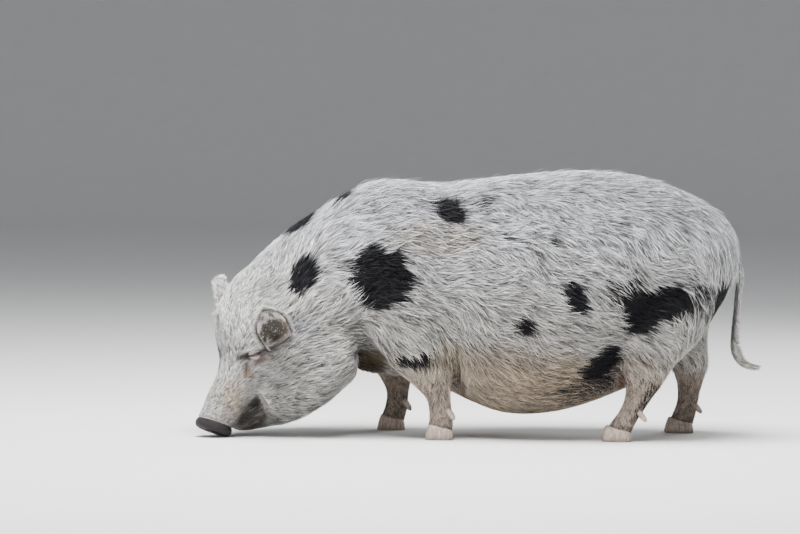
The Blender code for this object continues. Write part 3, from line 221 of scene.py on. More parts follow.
# Feet: x and y of the centre, half length of the sole, half width of both claws
FEET = {
    "fore_left": (-0.0475, -0.098, 0.0205, 0.0240),
    "fore_right": (-0.1270, 0.098, 0.0210, 0.0240),
    "hind_left": (0.2455, -0.098, 0.0215, 0.0240),
    "hind_right": (0.3605, 0.098, 0.0215, 0.0240),
}
CORONET_HEIGHT = 0.0215  # over the centre of a foot
CORONET_SLOPE = 0.25  # how much the coronet rises towards the toe
FOOT_ROOM = (0.06, 0.045, 0.05)  # of the space for the claws: half length, half width, depth under the floor
CLEFT = 0.0016  # between the two claws of a foot
CLAW_SIDES = 28
CLAW_ROUNDNESS = (2.3, 2.8)  # along and across
CLAW_TOE = 0.22  # how much further forward the toe reaches at the sole
# Claws from the sole up: share of the height, share of the size
CLAW_PROFILE = [(0.0, 0.97), (0.05, 1.02), (0.14, 1.03), (0.5, 1.0), (0.82, 0.95), (0.94, 0.90), (1.0, 0.82)]
DEWCLAW_HEIGHT = 0.050
DEWCLAW_LENGTH = 0.021
DEWCLAW_SPREAD = 0.0125
DEWCLAW_BACK = 0.55  # behind the middle of the leg, as a share of its half length
DEWCLAW_RUN = (0.62, 0.16, -0.76)  # the way that it points: back, outwards, up
DEWCLAW_BREADTH = 1.15  # as a share of its thickness
DEWCLAW_SIDES = 20
DEWCLAW_PROFILE = [(0.0, 0.0042), (0.4, 0.0050), (0.75, 0.0042), (0.93, 0.0028), (1.0, 0.0014)]

# Cuts between head and neck, and between neck and torso: x and z at the top and at the bottom, yaw in
# degrees, and how far the cut goes on below
HEAD_CUT = (-0.372, 0.292, -0.180, 0.078, 18, 0.012)
NECK_CUT = (-0.205, 0.430, -0.163, 0.080, 6, 0.2)

# Eyes, with directions in the head's own plane
EYE_LINE = (-0.030, 0.012)  # direction from the inner to the outer corner
EYE_LOOK = (0.42, 0.90, -0.12)  # ahead, outwards, up
EYE_RADIUS = 0.0110
EYE_SLIT = (0.0290, 0.0052)  # length and height of the opening between the lids
EYE_SLIT_SIDES = 28
EYE_SLIT_POINT = 1.3  # exponent that draws the corners of the opening out
EYE_SLIT_OUT = 0.02  # how far the opening's cutter stands out of the eye
EYE_CLEAR = (0.0150, 0.0048)  # half length and half height of the opening that stays free of hair
LID_THICKNESS = 0.0028
LID_HEIGHT = 0.0042
LID_RISE = 0.42  # radians from the middle of the opening to the middle of a lid
LID_APART = 0.04  # radians from the middle of the opening to a lid at the corners
LID_END = 0.35  # size of a lid at the corners, as a share of its size in the middle
LID_TURN = 1.15  # radians from the middle of the opening to a corner
LID_STEPS = 15
LID_SIDES = 14

# Ears, in the head's own plane
EAR_ROOT = {"left": (0.080, 0.168), "right": (0.075, 0.186)}  # ahead of the pivot, height over the floor
EAR_AXIS = {"left": (0.60, 0.30, 0.74), "right": (-0.10, 0.22, 0.97)}  # ahead, outwards, up
EAR_FACE = {"left": (0.35, 0.90, -0.20), "right": (0.60, 0.78, -0.10)}  # the way the cup opens
EAR_LENGTH = 0.080
EAR_WIDTH = 0.050
EAR_CUP = 0.016  # depth of the cup
EAR_STAND = 0.007  # how far the rim stands off the head
EAR_CURL = 0.012  # how far the tip bends over the cup
EAR_SUNK = 0.16  # share of the length inside the head
EAR_BROADEST = 0.55
EAR_ROOT_NARROWING = 0.55
EAR_TIP_NARROWING = 0.93
EAR_THICKNESS = 0.0032
EAR_EASE = 1.6  # how much closer together the rows of its surface lie towards the tip
EAR_SHALLOWER = 0.55  # share of the cup's depth that is lost towards the tip
EAR_ARC = 0.004  # how far the sides of a row lag behind its middle
EAR_HOLLOW = 0.025  # how far the cup is kept free of flesh
EAR_GRID = (26, 24)
EAR_REACH = 0.046  # of an ear's own finish and map, from its middle

# Nose and mouth, in the head's own plane: ahead of the pivot, height over the floor
NOSE_TOP = (0.1800, 0.0325)  # where the upper edge of the nose disc meets the snout
NOSE_LOW = (0.1240, 0.0115)  # and its lower edge
NOSE_THICKNESS = 0.0145
NOSE_SUNK = 0.0015  # how far the disc reaches into the head
NOSE_HALF_WIDTH = 0.0305
NOSE_PROFILE = [(0.0, 0.95), (0.18, 1.02), (0.45, 1.03), (0.72, 0.99), (0.90, 0.91), (1.0, 0.80)]
NOSTRIL = (0.0046, 0.0068, 0.0100)  # half width, half length and depth
NOSTRIL_SPREAD = 0.0125
NOSTRIL_TILT = 0.35  # how much the nostrils lean outwards at the top
NOSTRIL_SIDES = 24
# Sections of a nostril's cutter: place through the disc, share of the size
NOSTRIL_CUT = [(NOSE_THICKNESS - NOSTRIL[2], 0.7), (NOSE_THICKNESS - 0.003, 0.95), (0.020, 1.5)]
NOSE_SIDES = 56
NOSE_ROOM = 0.06  # half width and depth of the space that is cleared for the disc
NOSE_BELOW = 0.010  # how far that space reaches past the disc's lower edge
NOSE_AROUND = 0.05  # and past both edges in all

MOUTH = [(0.094, 0.058), (0.104, 0.043), (0.114, 0.031), (0.121, 0.024)]  # from the corner to the front
MOUTH_DEPTH = 0.010
MOUTH_GAP = 0.0024
MOUTH_WALL = 0.004  # half the flesh left between the two sides
MOUTH_OUT = 0.012  # how far the cutter stands out of the skin
MOUTH_INNER = 0.3  # width of the gap at its inner end, as a share of that at the skin

# Swellings and hollows of the face: ahead, outwards and up in the head's own plane, spread, lift
FACE_FORMS = [
    ((0.098, 0.075, 0.162), 0.016, 0.0060),  # brow over the eye
    ((0.078, 0.080, 0.164), 0.014, 0.0050),
    ((0.112, 0.062, 0.134), 0.012, -0.0040),  # hollow of the eye
    ((0.092, 0.072, 0.138), 0.012, -0.0030),
    ((0.122, 0.046, 0.118), 0.007, -0.0030),  # tear groove
    ((0.080, 0.078, 0.110), 0.026, 0.0070),  # cheek
    ((0.096, 0.040, 0.056), 0.011, -0.0080),  # corner of the mouth
    ((0.074, 0.066, 0.062), 0.020, 0.0060),  # cheek behind the corner
    ((0.130, 0.036, 0.036), 0.012, 0.0025),  # upper lip
]

# Rounded masses of the cheeks: ahead, outwards and up in the head's own plane, and the radii along the same
CHEEKS = [
    ((0.034, 0.054, 0.118), (0.058, 0.038, 0.056)),
    ((0.010, 0.076, 0.150), (0.062, 0.042, 0.060)),
    ((0.056, 0.047, 0.084), (0.042, 0.030, 0.042)),
]

# Tail stations: x, z, half thickness along x, half width along y
TAIL = [
    (0.420, 0.302, 0.0110, 0.0130),
    (0.440, 0.294, 0.0090, 0.0110),
    (0.4500, 0.272, 0.0066, 0.0082),
    (0.4480, 0.240, 0.0054, 0.0070),
    (0.4450, 0.208, 0.0044, 0.0058),
    (0.4420, 0.178, 0.0038, 0.0050),
    (0.4420, 0.152, 0.0048, 0.0068),
    (0.4490, 0.134, 0.0052, 0.0072),
    (0.4610, 0.124, 0.0036, 0.0052),
    (0.4760, 0.121, 0.0014, 0.0020),
]
TAIL_Y = -0.004
TAIL_MIDDLE = np.array((0.452, TAIL_Y, 0.205))  # of the part that the unwrap takes for the tail
TAIL_REACH = (0.035, 0.035, 0.088)  # the half sizes of that part
TAIL_FLESH = 0.72  # of the tail's thickness with its hair
TAIL_SIDES = 16

# Tufts: spindles whose sections say the share of the length, of the width and of the coat's depth
LONG_TUFT = [(0.30, 1.0, 0.62), (0.68, 0.78, 0.94)]
FINE_TUFT = [(0.38, 1.0, 0.70)]
COVER = (2.9, 0.4)  # how many tufts lie over one another, and how many fewer on face and legs
TUFT_WIDTH = (0.0012, 0.0004)  # width of a tuft, and how much narrower it is there
CLUMPING = (0.45, 0.20)  # how far a tuft leans to the leader of its clump, and how much less there
SWAY = (0.17, 0.06)  # radians by which each clump turns, and how much less there
CLUMP_TUFTS = 5.0  # tufts side by side in a clump
PLAIN_TUFTS = 0.62  # share of the long tufts that bend only once
WAVE = 0.26  # radians by which clumps turn together
PATCH = 0.003  # width of a tuft on the map
ROOT_SUNK = 0.0006
RAISED = 0.05  # share of the tufts on crest and back that stand up
RAISED_OVER = 0.33  # height over which such tufts grow
RAISED_LONGER = 1.3  # times as long as the others
RAISED_HIGHER = 1.6  # times as high over the skin
# Chance in each tuft of the body, as shares of its usual length, width, height and pull to its leader
LENGTHS = (0.72, 1.22)
WIDTHS = (0.65, 1.35)
HEIGHTS = (0.40, 1.12)
PULLS = (0.6, 1.25)
MOST_PULL = 0.95
PULL_ALONG = [(1, 0.35), (2, 1.0)]  # share of the pull half way along a tuft and at its end
STRAY = 0.16  # how far each tuft strays from the way of its clump
CHART_MARGIN = 0.008

# The lie of the coat: places on the body, alike on both sides, and the way that the hair points there
LIE = [
    ((-0.18, 0.03, 0.42), (1.0, 0.0, -0.05)),  # withers
    ((0.05, 0.00, 0.43), (1.0, 0.0, 0.0)),  # back
    ((0.30, 0.00, 0.43), (1.0, 0.0, -0.3)),  # rump
    ((0.43, 0.00, 0.33), (0.3, 0.0, -1.0)),
    ((0.40, 0.11, 0.25), (0.5, 0.0, -0.85)),  # buttock
    ((0.05, 0.17, 0.25), (1.0, 0.0, -0.1)),  # flank
    ((-0.12, 0.13, 0.28), (1.0, 0.0, -0.15)),  # shoulder
    ((0.10, 0.14, 0.12), (1.0, 0.0, -0.05)),
    ((0.22, 0.15, 0.16), (0.8, 0.0, 0.55)),  # flank fold
    ((0.30, 0.13, 0.20), (0.7, 0.0, -0.6)),  # thigh
    ((0.10, 0.00, 0.05), (1.0, 0.0, 0.0)),  # belly
    ((-0.16, 0.00, 0.10), (0.5, 0.0, -0.85)),  # chest
    ((-0.06, 0.13, 0.12), (-0.4, 0.0, -0.9)),  # top of the foreleg
    ((-0.05, 0.10, 0.05), (0.1, 0.0, -1.0)),  # forelegs
    ((-0.12, 0.10, 0.05), (0.1, 0.0, -1.0)),
    ((0.29, 0.10, 0.10), (0.1, 0.0, -1.0)),  # hind legs
    ((0.25, 0.10, 0.03), (0.0, 0.0, -1.0)),
    ((0.37, 0.10, 0.08), (0.1, 0.0, -1.0)),
    ((0.36, 0.10, 0.03), (0.0, 0.0, -1.0)),
    ((-0.28, 0.12, 0.25), (0.75, 0.0, 0.6)),  # neck
    ((-0.30, 0.00, 0.35), (0.8, 0.0, 0.6)),  # crest
    ((-0.20, 0.11, 0.13), (0.7, 0.0, 0.3)),
]
# The same on the head, in its own plane: ahead of the pivot, outwards, height over the floor
HEAD_LIE = [
    ((0.125, 0.00, 0.20), (-0.25, 0.0, 1.0)),  # forehead
    ((0.10, 0.06, 0.20), (-0.45, 0.0, 0.9)),
    ((0.06, 0.00, 0.28), (-0.8, 0.0, 0.6)),  # poll
    ((0.135, 0.00, 0.14), (-0.1, 0.0, 1.0)),
    ((0.165, 0.00, 0.08), (-0.5, 0.0, 0.86)),  # bridge of the snout
    ((0.14, 0.04, 0.05), (-0.8, 0.0, 0.6)),
    ((0.115, 0.05, 0.10), (-0.95, 0.1, 0.3)),  # under the eye
    ((0.08, 0.08, 0.10), (-1.0, 0.1, -0.05)),  # cheek
    ((0.07, 0.06, 0.05), (-0.9, 0.0, -0.3)),
    ((0.10, 0.00, 0.02), (-1.0, 0.0, 0.0)),  # chin
    ((0.02, 0.08, 0.04), (-1.0, 0.0, 0.1)),  # underside of the jowl
    ((0.05, 0.09, 0.15), (-1.0, 0.0, 0.15)),
    ((0.04, 0.09, 0.19), (-0.9, 0.0, 0.5)),
    ((0.00, 0.10, 0.22), (-0.8, 0.0, 0.6)),
]
LIE_SOFTNESS = 0.04  # distance over which one place's direction passes into the next

BODY_HAIR = (0.038, 0.008)  # length of the tufts, and how much shorter they are on the belly
FACE_HAIR = (0.019, 0.009)  # and on the snout
LEG_HAIR = (0.013, 0.005)  # and on the feet
TUFT_AREA = 0.55  # that a tuft covers, as a share of its length times its width
# Hair of the tail: how many tufts, from and to which row of the tail, their length and how far they spread
TAIL_HAIR = [(2600, 1, 13, 0.020, 0.13), (900, 11, 16.5, 0.026, 0.08)]
# Hair of an ear: how many tufts, whether they stand in the cup, and from which share of the width outwards
EAR_HAIR = [(2600, False, 0.0), (220, True, 0.0), (2600, False, 0.90)]
EAR_HAIR_SCATTER = 0.0006
EAR_HAIR_FAN = 0.7  # how far it fans out to the sides of the ear
EAR_HAIR_RISE = 0.25  # how far it stands off
EAR_HAIR_STRAY = 0.22
EAR_HAIR_LENGTH = (0.006, 0.011)
EAR_HAIR_WIDTH = (0.0006, 0.0011)
EAR_HAIR_HEIGHT = 0.0010
RIM_FAN = 2.0  # times as far out on the rim
RIM_LONGER = 1.2  # and times as long
TAIL_HAIR_START = 0.9  # place of the roots, as a share of the tail's radius
TAIL_HAIR_LENGTHS = (0.6, 1.1)  # chance in the length, as a share
TAIL_HAIR_WIDTH = (0.0008, 0.0015)
TAIL_HAIR_HEIGHT = 0.0008
TAIL_HAIR_STRAY = 0.10
TAIL_HAIR_BEND = 0.3  # share of the tail further on whose way the tips take
# Bristles: chance in their ways, widths and lengths, then their height over the skin
BRISTLE_STRAY = 0.20
BRISTLE_WIDTH = (0.0007, 0.0012)
BRISTLE_LENGTHS = (0.6, 1.15)
BRISTLE_HEIGHT = 0.0006
BROW_TUFT = (0.136, -0.018, 0.195)  # in the head's own plane
BROW_SPREAD = (0.004, 0.004, 0.004)
ARMPIT = (-0.016, 0.125, 0.118)
ARMPIT_SPREAD = (0.005, 0.005, 0.016)
COAT_DEPTH = 0.0080  # from the tips of the long coat down to the skin
FACE_DEPTH = 0.0024  # the same where the coat is short
COAT_FACE = (0.030, 0.110)  # ahead of the pivot: where the long coat starts to fade, and where it has gone
COAT_LOW = (0.075, 0.150)  # heights between which it fades in on the belly and the legs
COAT_CHEST = (0.185, 0.215)  # and in front of which, towards the nose, it reaches the jowl's underside
MOST_TUFTS = 15500  # in one piece of the coat

# Folds and creases of the skin: photograph pixels along the fold, half width and depth in metres
FOLDS = [
    ([(240, 357), (250, 355), (262, 351), (274, 346), (288, 339)], 0.0045, 0.0045),  # over the eye
    ([(250, 359), (247, 366), (244, 373)], 0.0035, 0.0030),  # tear groove
    ([(252, 366), (262, 362), (272, 356)], 0.0040, 0.0018),  # under the lower lid
    ([(236, 350), (246, 346), (258, 342)], 0.0040, 0.0016),  # brow
    ([(258, 396), (264, 404), (266, 414), (264, 424)], 0.0050, 0.0040),  # behind the mouth
    ([(330, 400), (315, 406), (300, 412), (285, 424)], 0.0060, 0.0035),  # jowl
    ([(358, 348), (359, 360), (358, 374)], 0.0070, 0.0040),  # behind the jowl
    ([(455, 347), (459, 360), (460, 374), (458, 386)], 0.0080, 0.0070),  # armpit
    ([(430, 352), (440, 362), (450, 376)], 0.0070, 0.0025),
    ([(618, 352), (622, 362), (622, 374), (616, 384)], 0.0090, 0.0060),  # flank
    ([(560, 372), (580, 362), (600, 350), (614, 338)], 0.0100, 0.0030),
    ([(300, 322), (306, 334), (304, 346)], 0.0060, 0.0022),  # neck behind the ear
    ([(416, 392), (430, 396), (446, 398)], 0.0040, 0.0015),  # knee
    ([(642, 372), (652, 378), (660, 384)], 0.0045, 0.0020),  # hock
]
FOLD_ROLL = 0.30  # height of the roll beside a fold, as a share of its depth
# Dark patches on the left side: photograph pixel of the middle, half length and half width in pixels, and
# degrees by which the longer way rises to the right
PATCHES = [
    ((343, 197), (13, 6), 42),
    ((295, 225), (21, 7), 36),
    ((304, 278), (20, 14), 68),
    ((380, 277), (34, 29), -38),
    ((450, 212), (20, 11), -34),
    ((414, 360), (17, 6), 2),
    ((526, 326), (12, 9), -8),
    ((574, 297), (17, 12), -58),
    ((640, 310), (22, 25), 0),
    ((664, 302), (28, 17), 10),
    ((717, 297), (21, 10), 70),
    ((601, 363), (27, 14), 42),
    ((505, 238), (6, 3), -30),
    ((553, 243), (6, 3), -50),
]
# Dark patches that the photograph doesn't show, on the back and the right side: middle, half sizes and tilt
FAR_PATCHES = [
    ((-0.255, 0.080, 0.290), (0.034, 0.060, 0.024), 30),
    ((-0.105, 0.110, 0.235), (0.048, 0.070, 0.040), -20),
    ((0.030, 0.135, 0.330), (0.034, 0.060, 0.022), -15),
    ((0.165, 0.155, 0.190), (0.026, 0.060, 0.019), 10),
    ((0.215, 0.120, 0.345), (0.030, 0.060, 0.021), -35),
    ((0.345, 0.120, 0.255), (0.050, 0.070, 0.036), 15),
    ((0.110, 0.040, 0.440), (0.022, 0.030, 0.030), 0),
]
# Half-dark zones where black and white hairs mix: the same figures
GREY_PATCHES = [
    ((590, 386), (38, 17), 22),
    ((626, 291), (26, 13), 30),
    ((646, 400), (28, 6), 64),
    ((700, 300), (16, 22), 0),
    ((484, 205), (12, 8), -40),
]
BLACK = (0.007, 0.007, 0.010)
SMALL_MARK = 0.012  # below this half width the edges of stains and of painted shade are less uneven

# Stains, and painted shade and shadow in recesses: photograph pixel of the middle, half length and half width
# in pixels, degrees by which the longer way rises to the right, softness, strength, colour
STAINS_AND_SHADE = [
    ((440, 240), (46, 17), 0, 0.5, 0.55, (0.50, 0.41, 0.30)),  # soil on the shoulder
    ((500, 376), (76, 30), 0, 0.5, 0.75, (0.55, 0.42, 0.30)),  # belly
    ((566, 380), (50, 22), 10, 0.5, 0.6, (0.55, 0.42, 0.30)),
    ((368, 361), (16, 18), 0, 0.45, 1.0, (0.060, 0.038, 0.020)),  # behind the jowl: painted shadow in the recess, with some dirt
    # painted shadow with some dirt, further into the same recess
    ((380, 352), (14, 8), 0, 0.5, 0.7, (0.30, 0.21, 0.12)),
    ((458, 364), (5, 22), 0, 0.5, 0.85, (0.22, 0.17, 0.09)),  # armpit: painted shade in its crease
    ((444, 356), (12, 14), 0, 0.6, 0.5, (0.56, 0.47, 0.32)),
    ((398, 395), (20, 22), 0, 0.5, 0.7, (0.22, 0.17, 0.12)),  # far foreleg: painted shade
    ((621, 380), (9, 12), 0, 0.4, 0.85, (0.42, 0.21, 0.13)),  # bare groin
    ((636, 360), (18, 12), 0, 0.6, 0.5, (0.62, 0.49, 0.40)),
    ((320, 405), (44, 10), 24, 0.6, 0.5, (0.42, 0.33, 0.25)),  # underside of the jowl: painted shade
    ((300, 330), (13, 18), 0, 0.5, 0.55, (0.33, 0.34, 0.41)),  # behind the ear: painted shade, bluish like shade under the sky
]
# The same on the face, alike on both sides of the head
FACE_STAINS_AND_SHADE = [
    ((233, 398), (12, 22), 0, 0.6, 0.75, (0.56, 0.47, 0.36)),  # bridge of the snout
    ((252, 419), (16, 15), 20, 0.6, 0.95, (0.040, 0.028, 0.020)),  # mouth: painted shadow in its opening
    ((256, 403), (5, 7), 0, 0.6, 0.9, (0.050, 0.036, 0.028)),  # its corner: painted shade in the pit
    ((248, 374), (5, 4), 0, 0.6, 0.75, (0.52, 0.30, 0.09)),  # tears
    # painted shade in the tear groove
    ((246, 366), (4, 7), 0, 0.5, 0.75, (0.12, 0.06, 0.04)),
    ((258, 360), (9, 5), 24, 0.5, 0.9, (0.24, 0.14, 0.11)),  # lower lid
    ((243, 357), (7, 5), 10, 0.6, 0.9, (0.10, 0.085, 0.09)),  # inner corner: painted shade in its crease
    ((257, 353), (19, 4.4), 17, 0.5, 1.0, (0.012, 0.008, 0.007)),  # slit of the eye: dark lashes, with painted shadow of the brow over them
    ((281, 342), (13, 2.0), 28, 0.6, 0.95, (0.040, 0.034, 0.034)),  # its crease: painted shade
    ((267, 358), (7, 1.5), 42, 0.5, 0.6, (0.66, 0.52, 0.30)),  # lashes
]


def unit(vectors):
    return vectors / np.linalg.norm(vectors, axis=-1, keepdims=True)


def step(value, low, high):
    """0 below low, 1 above high, and smooth between, for a number or an array."""
    t = np.clip((value - low) / (high - low), 0.0, 1.0)
    return t * t * (3 - 2 * t)


def spline(rows, steps):
    """The rows with smooth in-between rows, by a Catmull-Rom curve through every column."""
    rows = np.array(rows, float)
    padded = np.vstack([2 * rows[0] - rows[1], rows, 2 * rows[-1] - rows[-2]])
    out = []
    for i in range(1, len(padded) - 2):
        a, b, c, d = padded[i - 1 : i + 3]
        for t in np.arange(steps) / steps:
            bend = (2 * a - 5 * b + 4 * c - d) * t**2 + (3 * b - a - 3 * c + d) * t**3
            out.append(0.5 * (2 * b + (c - a) * t + bend))
    out.append(rows[-1])
    return np.array(out)


def power_curve(value, power):
    return math.copysign(abs(value) ** (2 / power), value)


def side_axis(yaw):
    """The level axis that points to the animal's left where the body is turned by yaw degrees."""
    angle = math.radians(yaw)
    return np.array((math.sin(angle), -math.cos(angle), 0.0))


def heading(yaw):
    """The level axis that points ahead where the body is turned by yaw degrees."""
    angle = math.radians(yaw)
    return np.array((-math.cos(angle), -math.sin(angle), 0.0))


def head_axis(ahead, left, height):
    """A direction given in the head's own plane."""
    return heading(HEAD_YAW) * ahead + side_axis(HEAD_YAW) * left + np.array((0, 0, height))


def head_point(ahead, left, height):
    """A point given in the head's own plane."""
    return np.array(HEAD_PIVOT) + head_axis(ahead, left, height)


def ring(top, bottom, side, half_width, widest=0.5, above=ROUNDNESS, below=ROUNDNESS, sides=RING_SIDES):
    """A closed section between a top and a bottom point, as wide as given along the side axis."""
    middle = bottom + (top - bottom) * widest
    points = []
    for k in range(sides):
        angle = 2 * math.pi * k / sides
        upper = math.sin(angle) > 0
        reach = (top - middle) if upper else (middle - bottom)
        power = above if upper else below
        across = side * half_width * power_curve(math.cos(angle), power)
        points.append(middle + across + reach * power_curve(math.sin(angle), power))
    return points


def outward(bm):
    """Turns the faces of a closed mesh outwards."""
    bm.normal_update()
    bmesh.ops.recalc_face_normals(bm, faces=bm.faces)
    if bm.calc_volume(signed=True) < 0:
        bmesh.ops.reverse_faces(bm, faces=bm.faces)


def linked(name, data):
    """A new object in the scene."""
    obj = bpy.data.objects.new(name, data)
    bpy.context.scene.collection.objects.link(obj)
    return obj


def object_from(name, bm):
    mesh = bpy.data.meshes.new(name)
    bm.to_mesh(mesh)
    bm.free()
    return linked(name, mesh)


def loft(name, rings):
    """A closed mesh object through a list of rings that all have the same number of points."""
    sides = len(rings[0])
    bm = bmesh.new()
    grid = [[bm.verts.new(p) for p in points] for points in rings]
    for lower, upper in zip(grid, grid[1:]):
        for k in range(sides):
            n = (k + 1) % sides
            bm.faces.new((lower[k], lower[n], upper[n], upper[k]))
    for end in (grid[0], grid[-1]):
        centre = bm.verts.new(sum((v.co for v in end), Vector()) / sides)
        for k in range(sides):
            bm.faces.new((end[k], end[(k + 1) % sides], centre))
    outward(bm)
    bmesh.ops.triangulate(bm, faces=bm.faces)
    return object_from(name, bm)


def box(name, corner, axes, lengths):
    """A box that spans three axes from one corner."""
    bm = bmesh.new()
    bmesh.ops.create_cube(bm, size=1.0)
    spans = [unit(np.array(axis, float)) * length for axis, length in zip(axes, lengths)]
    for vert in bm.verts:
        vert.co = np.array(corner, float) + sum(span * (share + 0.5) for share, span in zip(vert.co, spans))
    outward(bm)
    return object_from(name, bm)


def ball(name, centre, radius, segments, rings):
    bm = bmesh.new()
    bmesh.ops.create_uvsphere(bm, u_segments=segments, v_segments=rings, radius=radius)
    bmesh.ops.translate(bm, verts=bm.verts, vec=Vector(centre))
    bmesh.ops.triangulate(bm, faces=bm.faces)
    return object_from(name, bm)


def joined(name, objects):
    """One object that holds the meshes of several."""
    bm = bmesh.new()
    for obj in objects:
        bm.from_mesh(obj.data)
        bpy.data.objects.remove(obj)
    return object_from(name, bm)


def apply_modifiers(obj):
    """Bakes the modifiers of an object into its mesh."""
    graph = bpy.context.evaluated_depsgraph_get()
    mesh = bpy.data.meshes.new_from_object(obj.evaluated_get(graph))
    obj.modifiers.clear()
    obj.data = mesh
    return obj


def surface_tree(obj):
    bm = bmesh.new()
    bm.from_mesh(obj.data)
    tree = BVHTree.FromBMesh(bm)
    bm.free()
    return tree


def skin_at(tree, ahead, height, side):
    """Where the skin of the head is, seen from one side, at a place in the head's own plane."""
    start = Vector(head_point(ahead, side * BESIDE_HEAD, height))
    return np.array(tree.ray_cast(start, Vector(head_axis(0, -side, 0)))[0])


def trunk_rings():
    left = side_axis(0)
    for x, high, low, width, widest, below in spline(TRUNK, SPAN_STEPS):
        yield ring(np.array((x, 0, high)), np.array((x, 0, low)), left, width, widest, TRUNK_ROUNDNESS, below)


def turned_rings(stations, widest):
    """Rings of the neck or the jowl, whose stations say how far they are turned and shifted."""
    for top_x, top_z, low_x, low_z, shift, yaw, width in spline(stations, SPAN_STEPS):
        top, bottom = np.array((top_x, shift, top_z)), np.array((low_x, shift, low_z))
        yield ring(top, bottom, side_axis(yaw), width, widest)


def head_rings(stations):
    for top_a, top_z, low_a, low_z, width, widest in spline(stations, SPAN_STEPS):
        top, bottom = head_point(top_a, 0, top_z), head_point(low_a, 0, low_z)
        yield ring(top, bottom, side_axis(HEAD_YAW), width, widest)


def leg_rings(stations):
    """Level rings from the hip or shoulder down to the sole."""
    for x, y, z, long, wide in spline(stations, SPAN_STEPS):
        centre, reach = np.array((x, y, z)), np.array((long, 0, 0))
        yield ring(centre - reach, centre + reach, ALONG_Y, wide)


def cheek(centre, radii, side):
    """A rounded mass on one side of the head."""
    obj = ball("cheek_mass", (0, 0, 0), 1.0, 24, 16)
    ahead, left, height = centre
    for vert in obj.data.vertices:
        a, l, h = (share * radius for share, radius in zip(vert.co, radii))
        vert.co = head_point(ahead + a, side * (left + l), height + h)
    if side < 0:
        obj.data.flip_normals()
    return obj


def face_lift(points):
    """How far the swellings and hollows of the face raise the skin, on both sides alike."""
    lift = np.zeros(len(points))
    for (ahead, left, height), radius, amount in FACE_FORMS:
        for side in (1, -1):
            distance = np.linalg.norm(points - head_point(ahead, side * left, height), axis=1)
            lift += amount * np.exp(-((distance / radius) ** 2))
    return lift


def cut_frame(cut):
    """The upper point of a cut, and its directions down the body and towards the nose."""
    top_x, top_z, low_x, low_z, yaw, _ = cut
    down = unit(heading(yaw) * (top_x - low_x) + np.array((0, 0, low_z - top_z)))
    nose = np.cross(side_axis(yaw), down)
    if nose @ heading(yaw) < 0:
        nose = -nose
    return np.array((top_x, 0, top_z)), down, nose


def coronet_height(place_x, foot_x):
    """How high the sloping plane between a leg and its claws lies at a place along the foot."""
    return CORONET_HEIGHT - CORONET_SLOPE * (place_x - foot_x)


def coronet(point, x, offset):
    """The point moved along Z to an offset over the coronet's plane."""
    return np.array((point[0], point[1], coronet_height(point[0], x) + offset))


def lid(name, frame, upper):
    """One lid: a crescent that hugs the eye above or below the opening."""
    centre, out, along, across = frame
    radius = EYE_RADIUS + LID_THICKNESS / 2
    sign = 1 if upper else -1
    rings = []
    for s in np.linspace(-1, 1, LID_STEPS):
        turn = s * LID_TURN
        rise = sign * (LID_RISE * (1 - s * s) + LID_APART)
        direction = out * math.cos(turn) * math.cos(rise) + along * math.sin(turn) * math.cos(rise)
        direction = direction + across * math.sin(rise)
        lateral = unit(across - direction * (across @ direction))
        size = LID_END + (1 - LID_END) * math.sqrt(max(0.0, 1 - s * s))
        spot = centre + direction * radius
        rings.append(
            [
                spot
                + direction * LID_THICKNESS * size * math.cos(2 * math.pi * k / LID_SIDES)
                + lateral * LID_HEIGHT * size * math.sin(2 * math.pi * k / LID_SIDES)
                for k in range(LID_SIDES)
            ]
        )
    return loft(name, rings)


def eye_opening(name, frame):
    """An almond prism that opens the eye's pocket between the lids."""
    centre, out, along, across = frame
    rings = []
    for depth in (0.0, EYE_RADIUS + EYE_SLIT_OUT):
        points = []
        for k in range(EYE_SLIT_SIDES):
            angle = 2 * math.pi * k / EYE_SLIT_SIDES
            reach = along * EYE_SLIT[0] / 2 * math.cos(angle)
            rise = across * EYE_SLIT[1] / 2 * power_curve(math.sin(angle), EYE_SLIT_POINT)
            points.append(centre + out * depth + reach + rise)
        rings.append(points)
    return loft(name, rings)


def mouth_cutter(tree, side):
    """A thin curved wedge that cuts the line of the mouth into one side of the head."""
    path = spline(MOUTH, 3)
    rings = []
    for i, (ahead, height) in enumerate(path):
        before, after = path[max(i - 1, 0)], path[min(i + 1, len(path) - 1)]
        run = unit(after - before)
        across = head_axis(-run[1], 0, run[0]) * MOUTH_GAP / 2
        skin = skin_at(tree, ahead, height, side)
        left = head_coordinates(skin)[1] * side
        inner = head_point(ahead, side * max(left - MOUTH_DEPTH, MOUTH_WALL), height)
        outer = head_point(ahead, side * (left + MOUTH_OUT), height)
        thin = across * MOUTH_INNER
        rings.append([inner - thin, outer - across, outer + across, inner + thin])
    return loft("mouth_cutter", rings)


def nose_frame():
    """The middle of the nose disc's inner face, its direction up the disc and the way that it faces."""
    top, low = head_point(NOSE_TOP[0], 0, NOSE_TOP[1]), head_point(NOSE_LOW[0], 0, NOSE_LOW[1])
    up = unit(top - low)
    face = np.cross(up, head_axis(0, 1, 0))
    if face[2] > 0:
        face = -face
    return (top + low) / 2, up, face, float(np.linalg.norm(top - low)) / 2


def ear_outline(t):
    """The width of the ear at a share of its length, from 0 at the root to 1 at the tip."""
    if t < EAR_BROADEST:
        narrow = EAR_ROOT_NARROWING * (EAR_BROADEST - t) / EAR_BROADEST
    else:
        narrow = EAR_TIP_NARROWING * (t - EAR_BROADEST) / (1 - EAR_BROADEST)
    return math.sqrt(1 - narrow**2)


def mirrored(direction, side):
    """A direction in the head's own plane, for its left side (1) or its right (-1)."""
    return head_axis(direction[0], side * direction[1], direction[2])


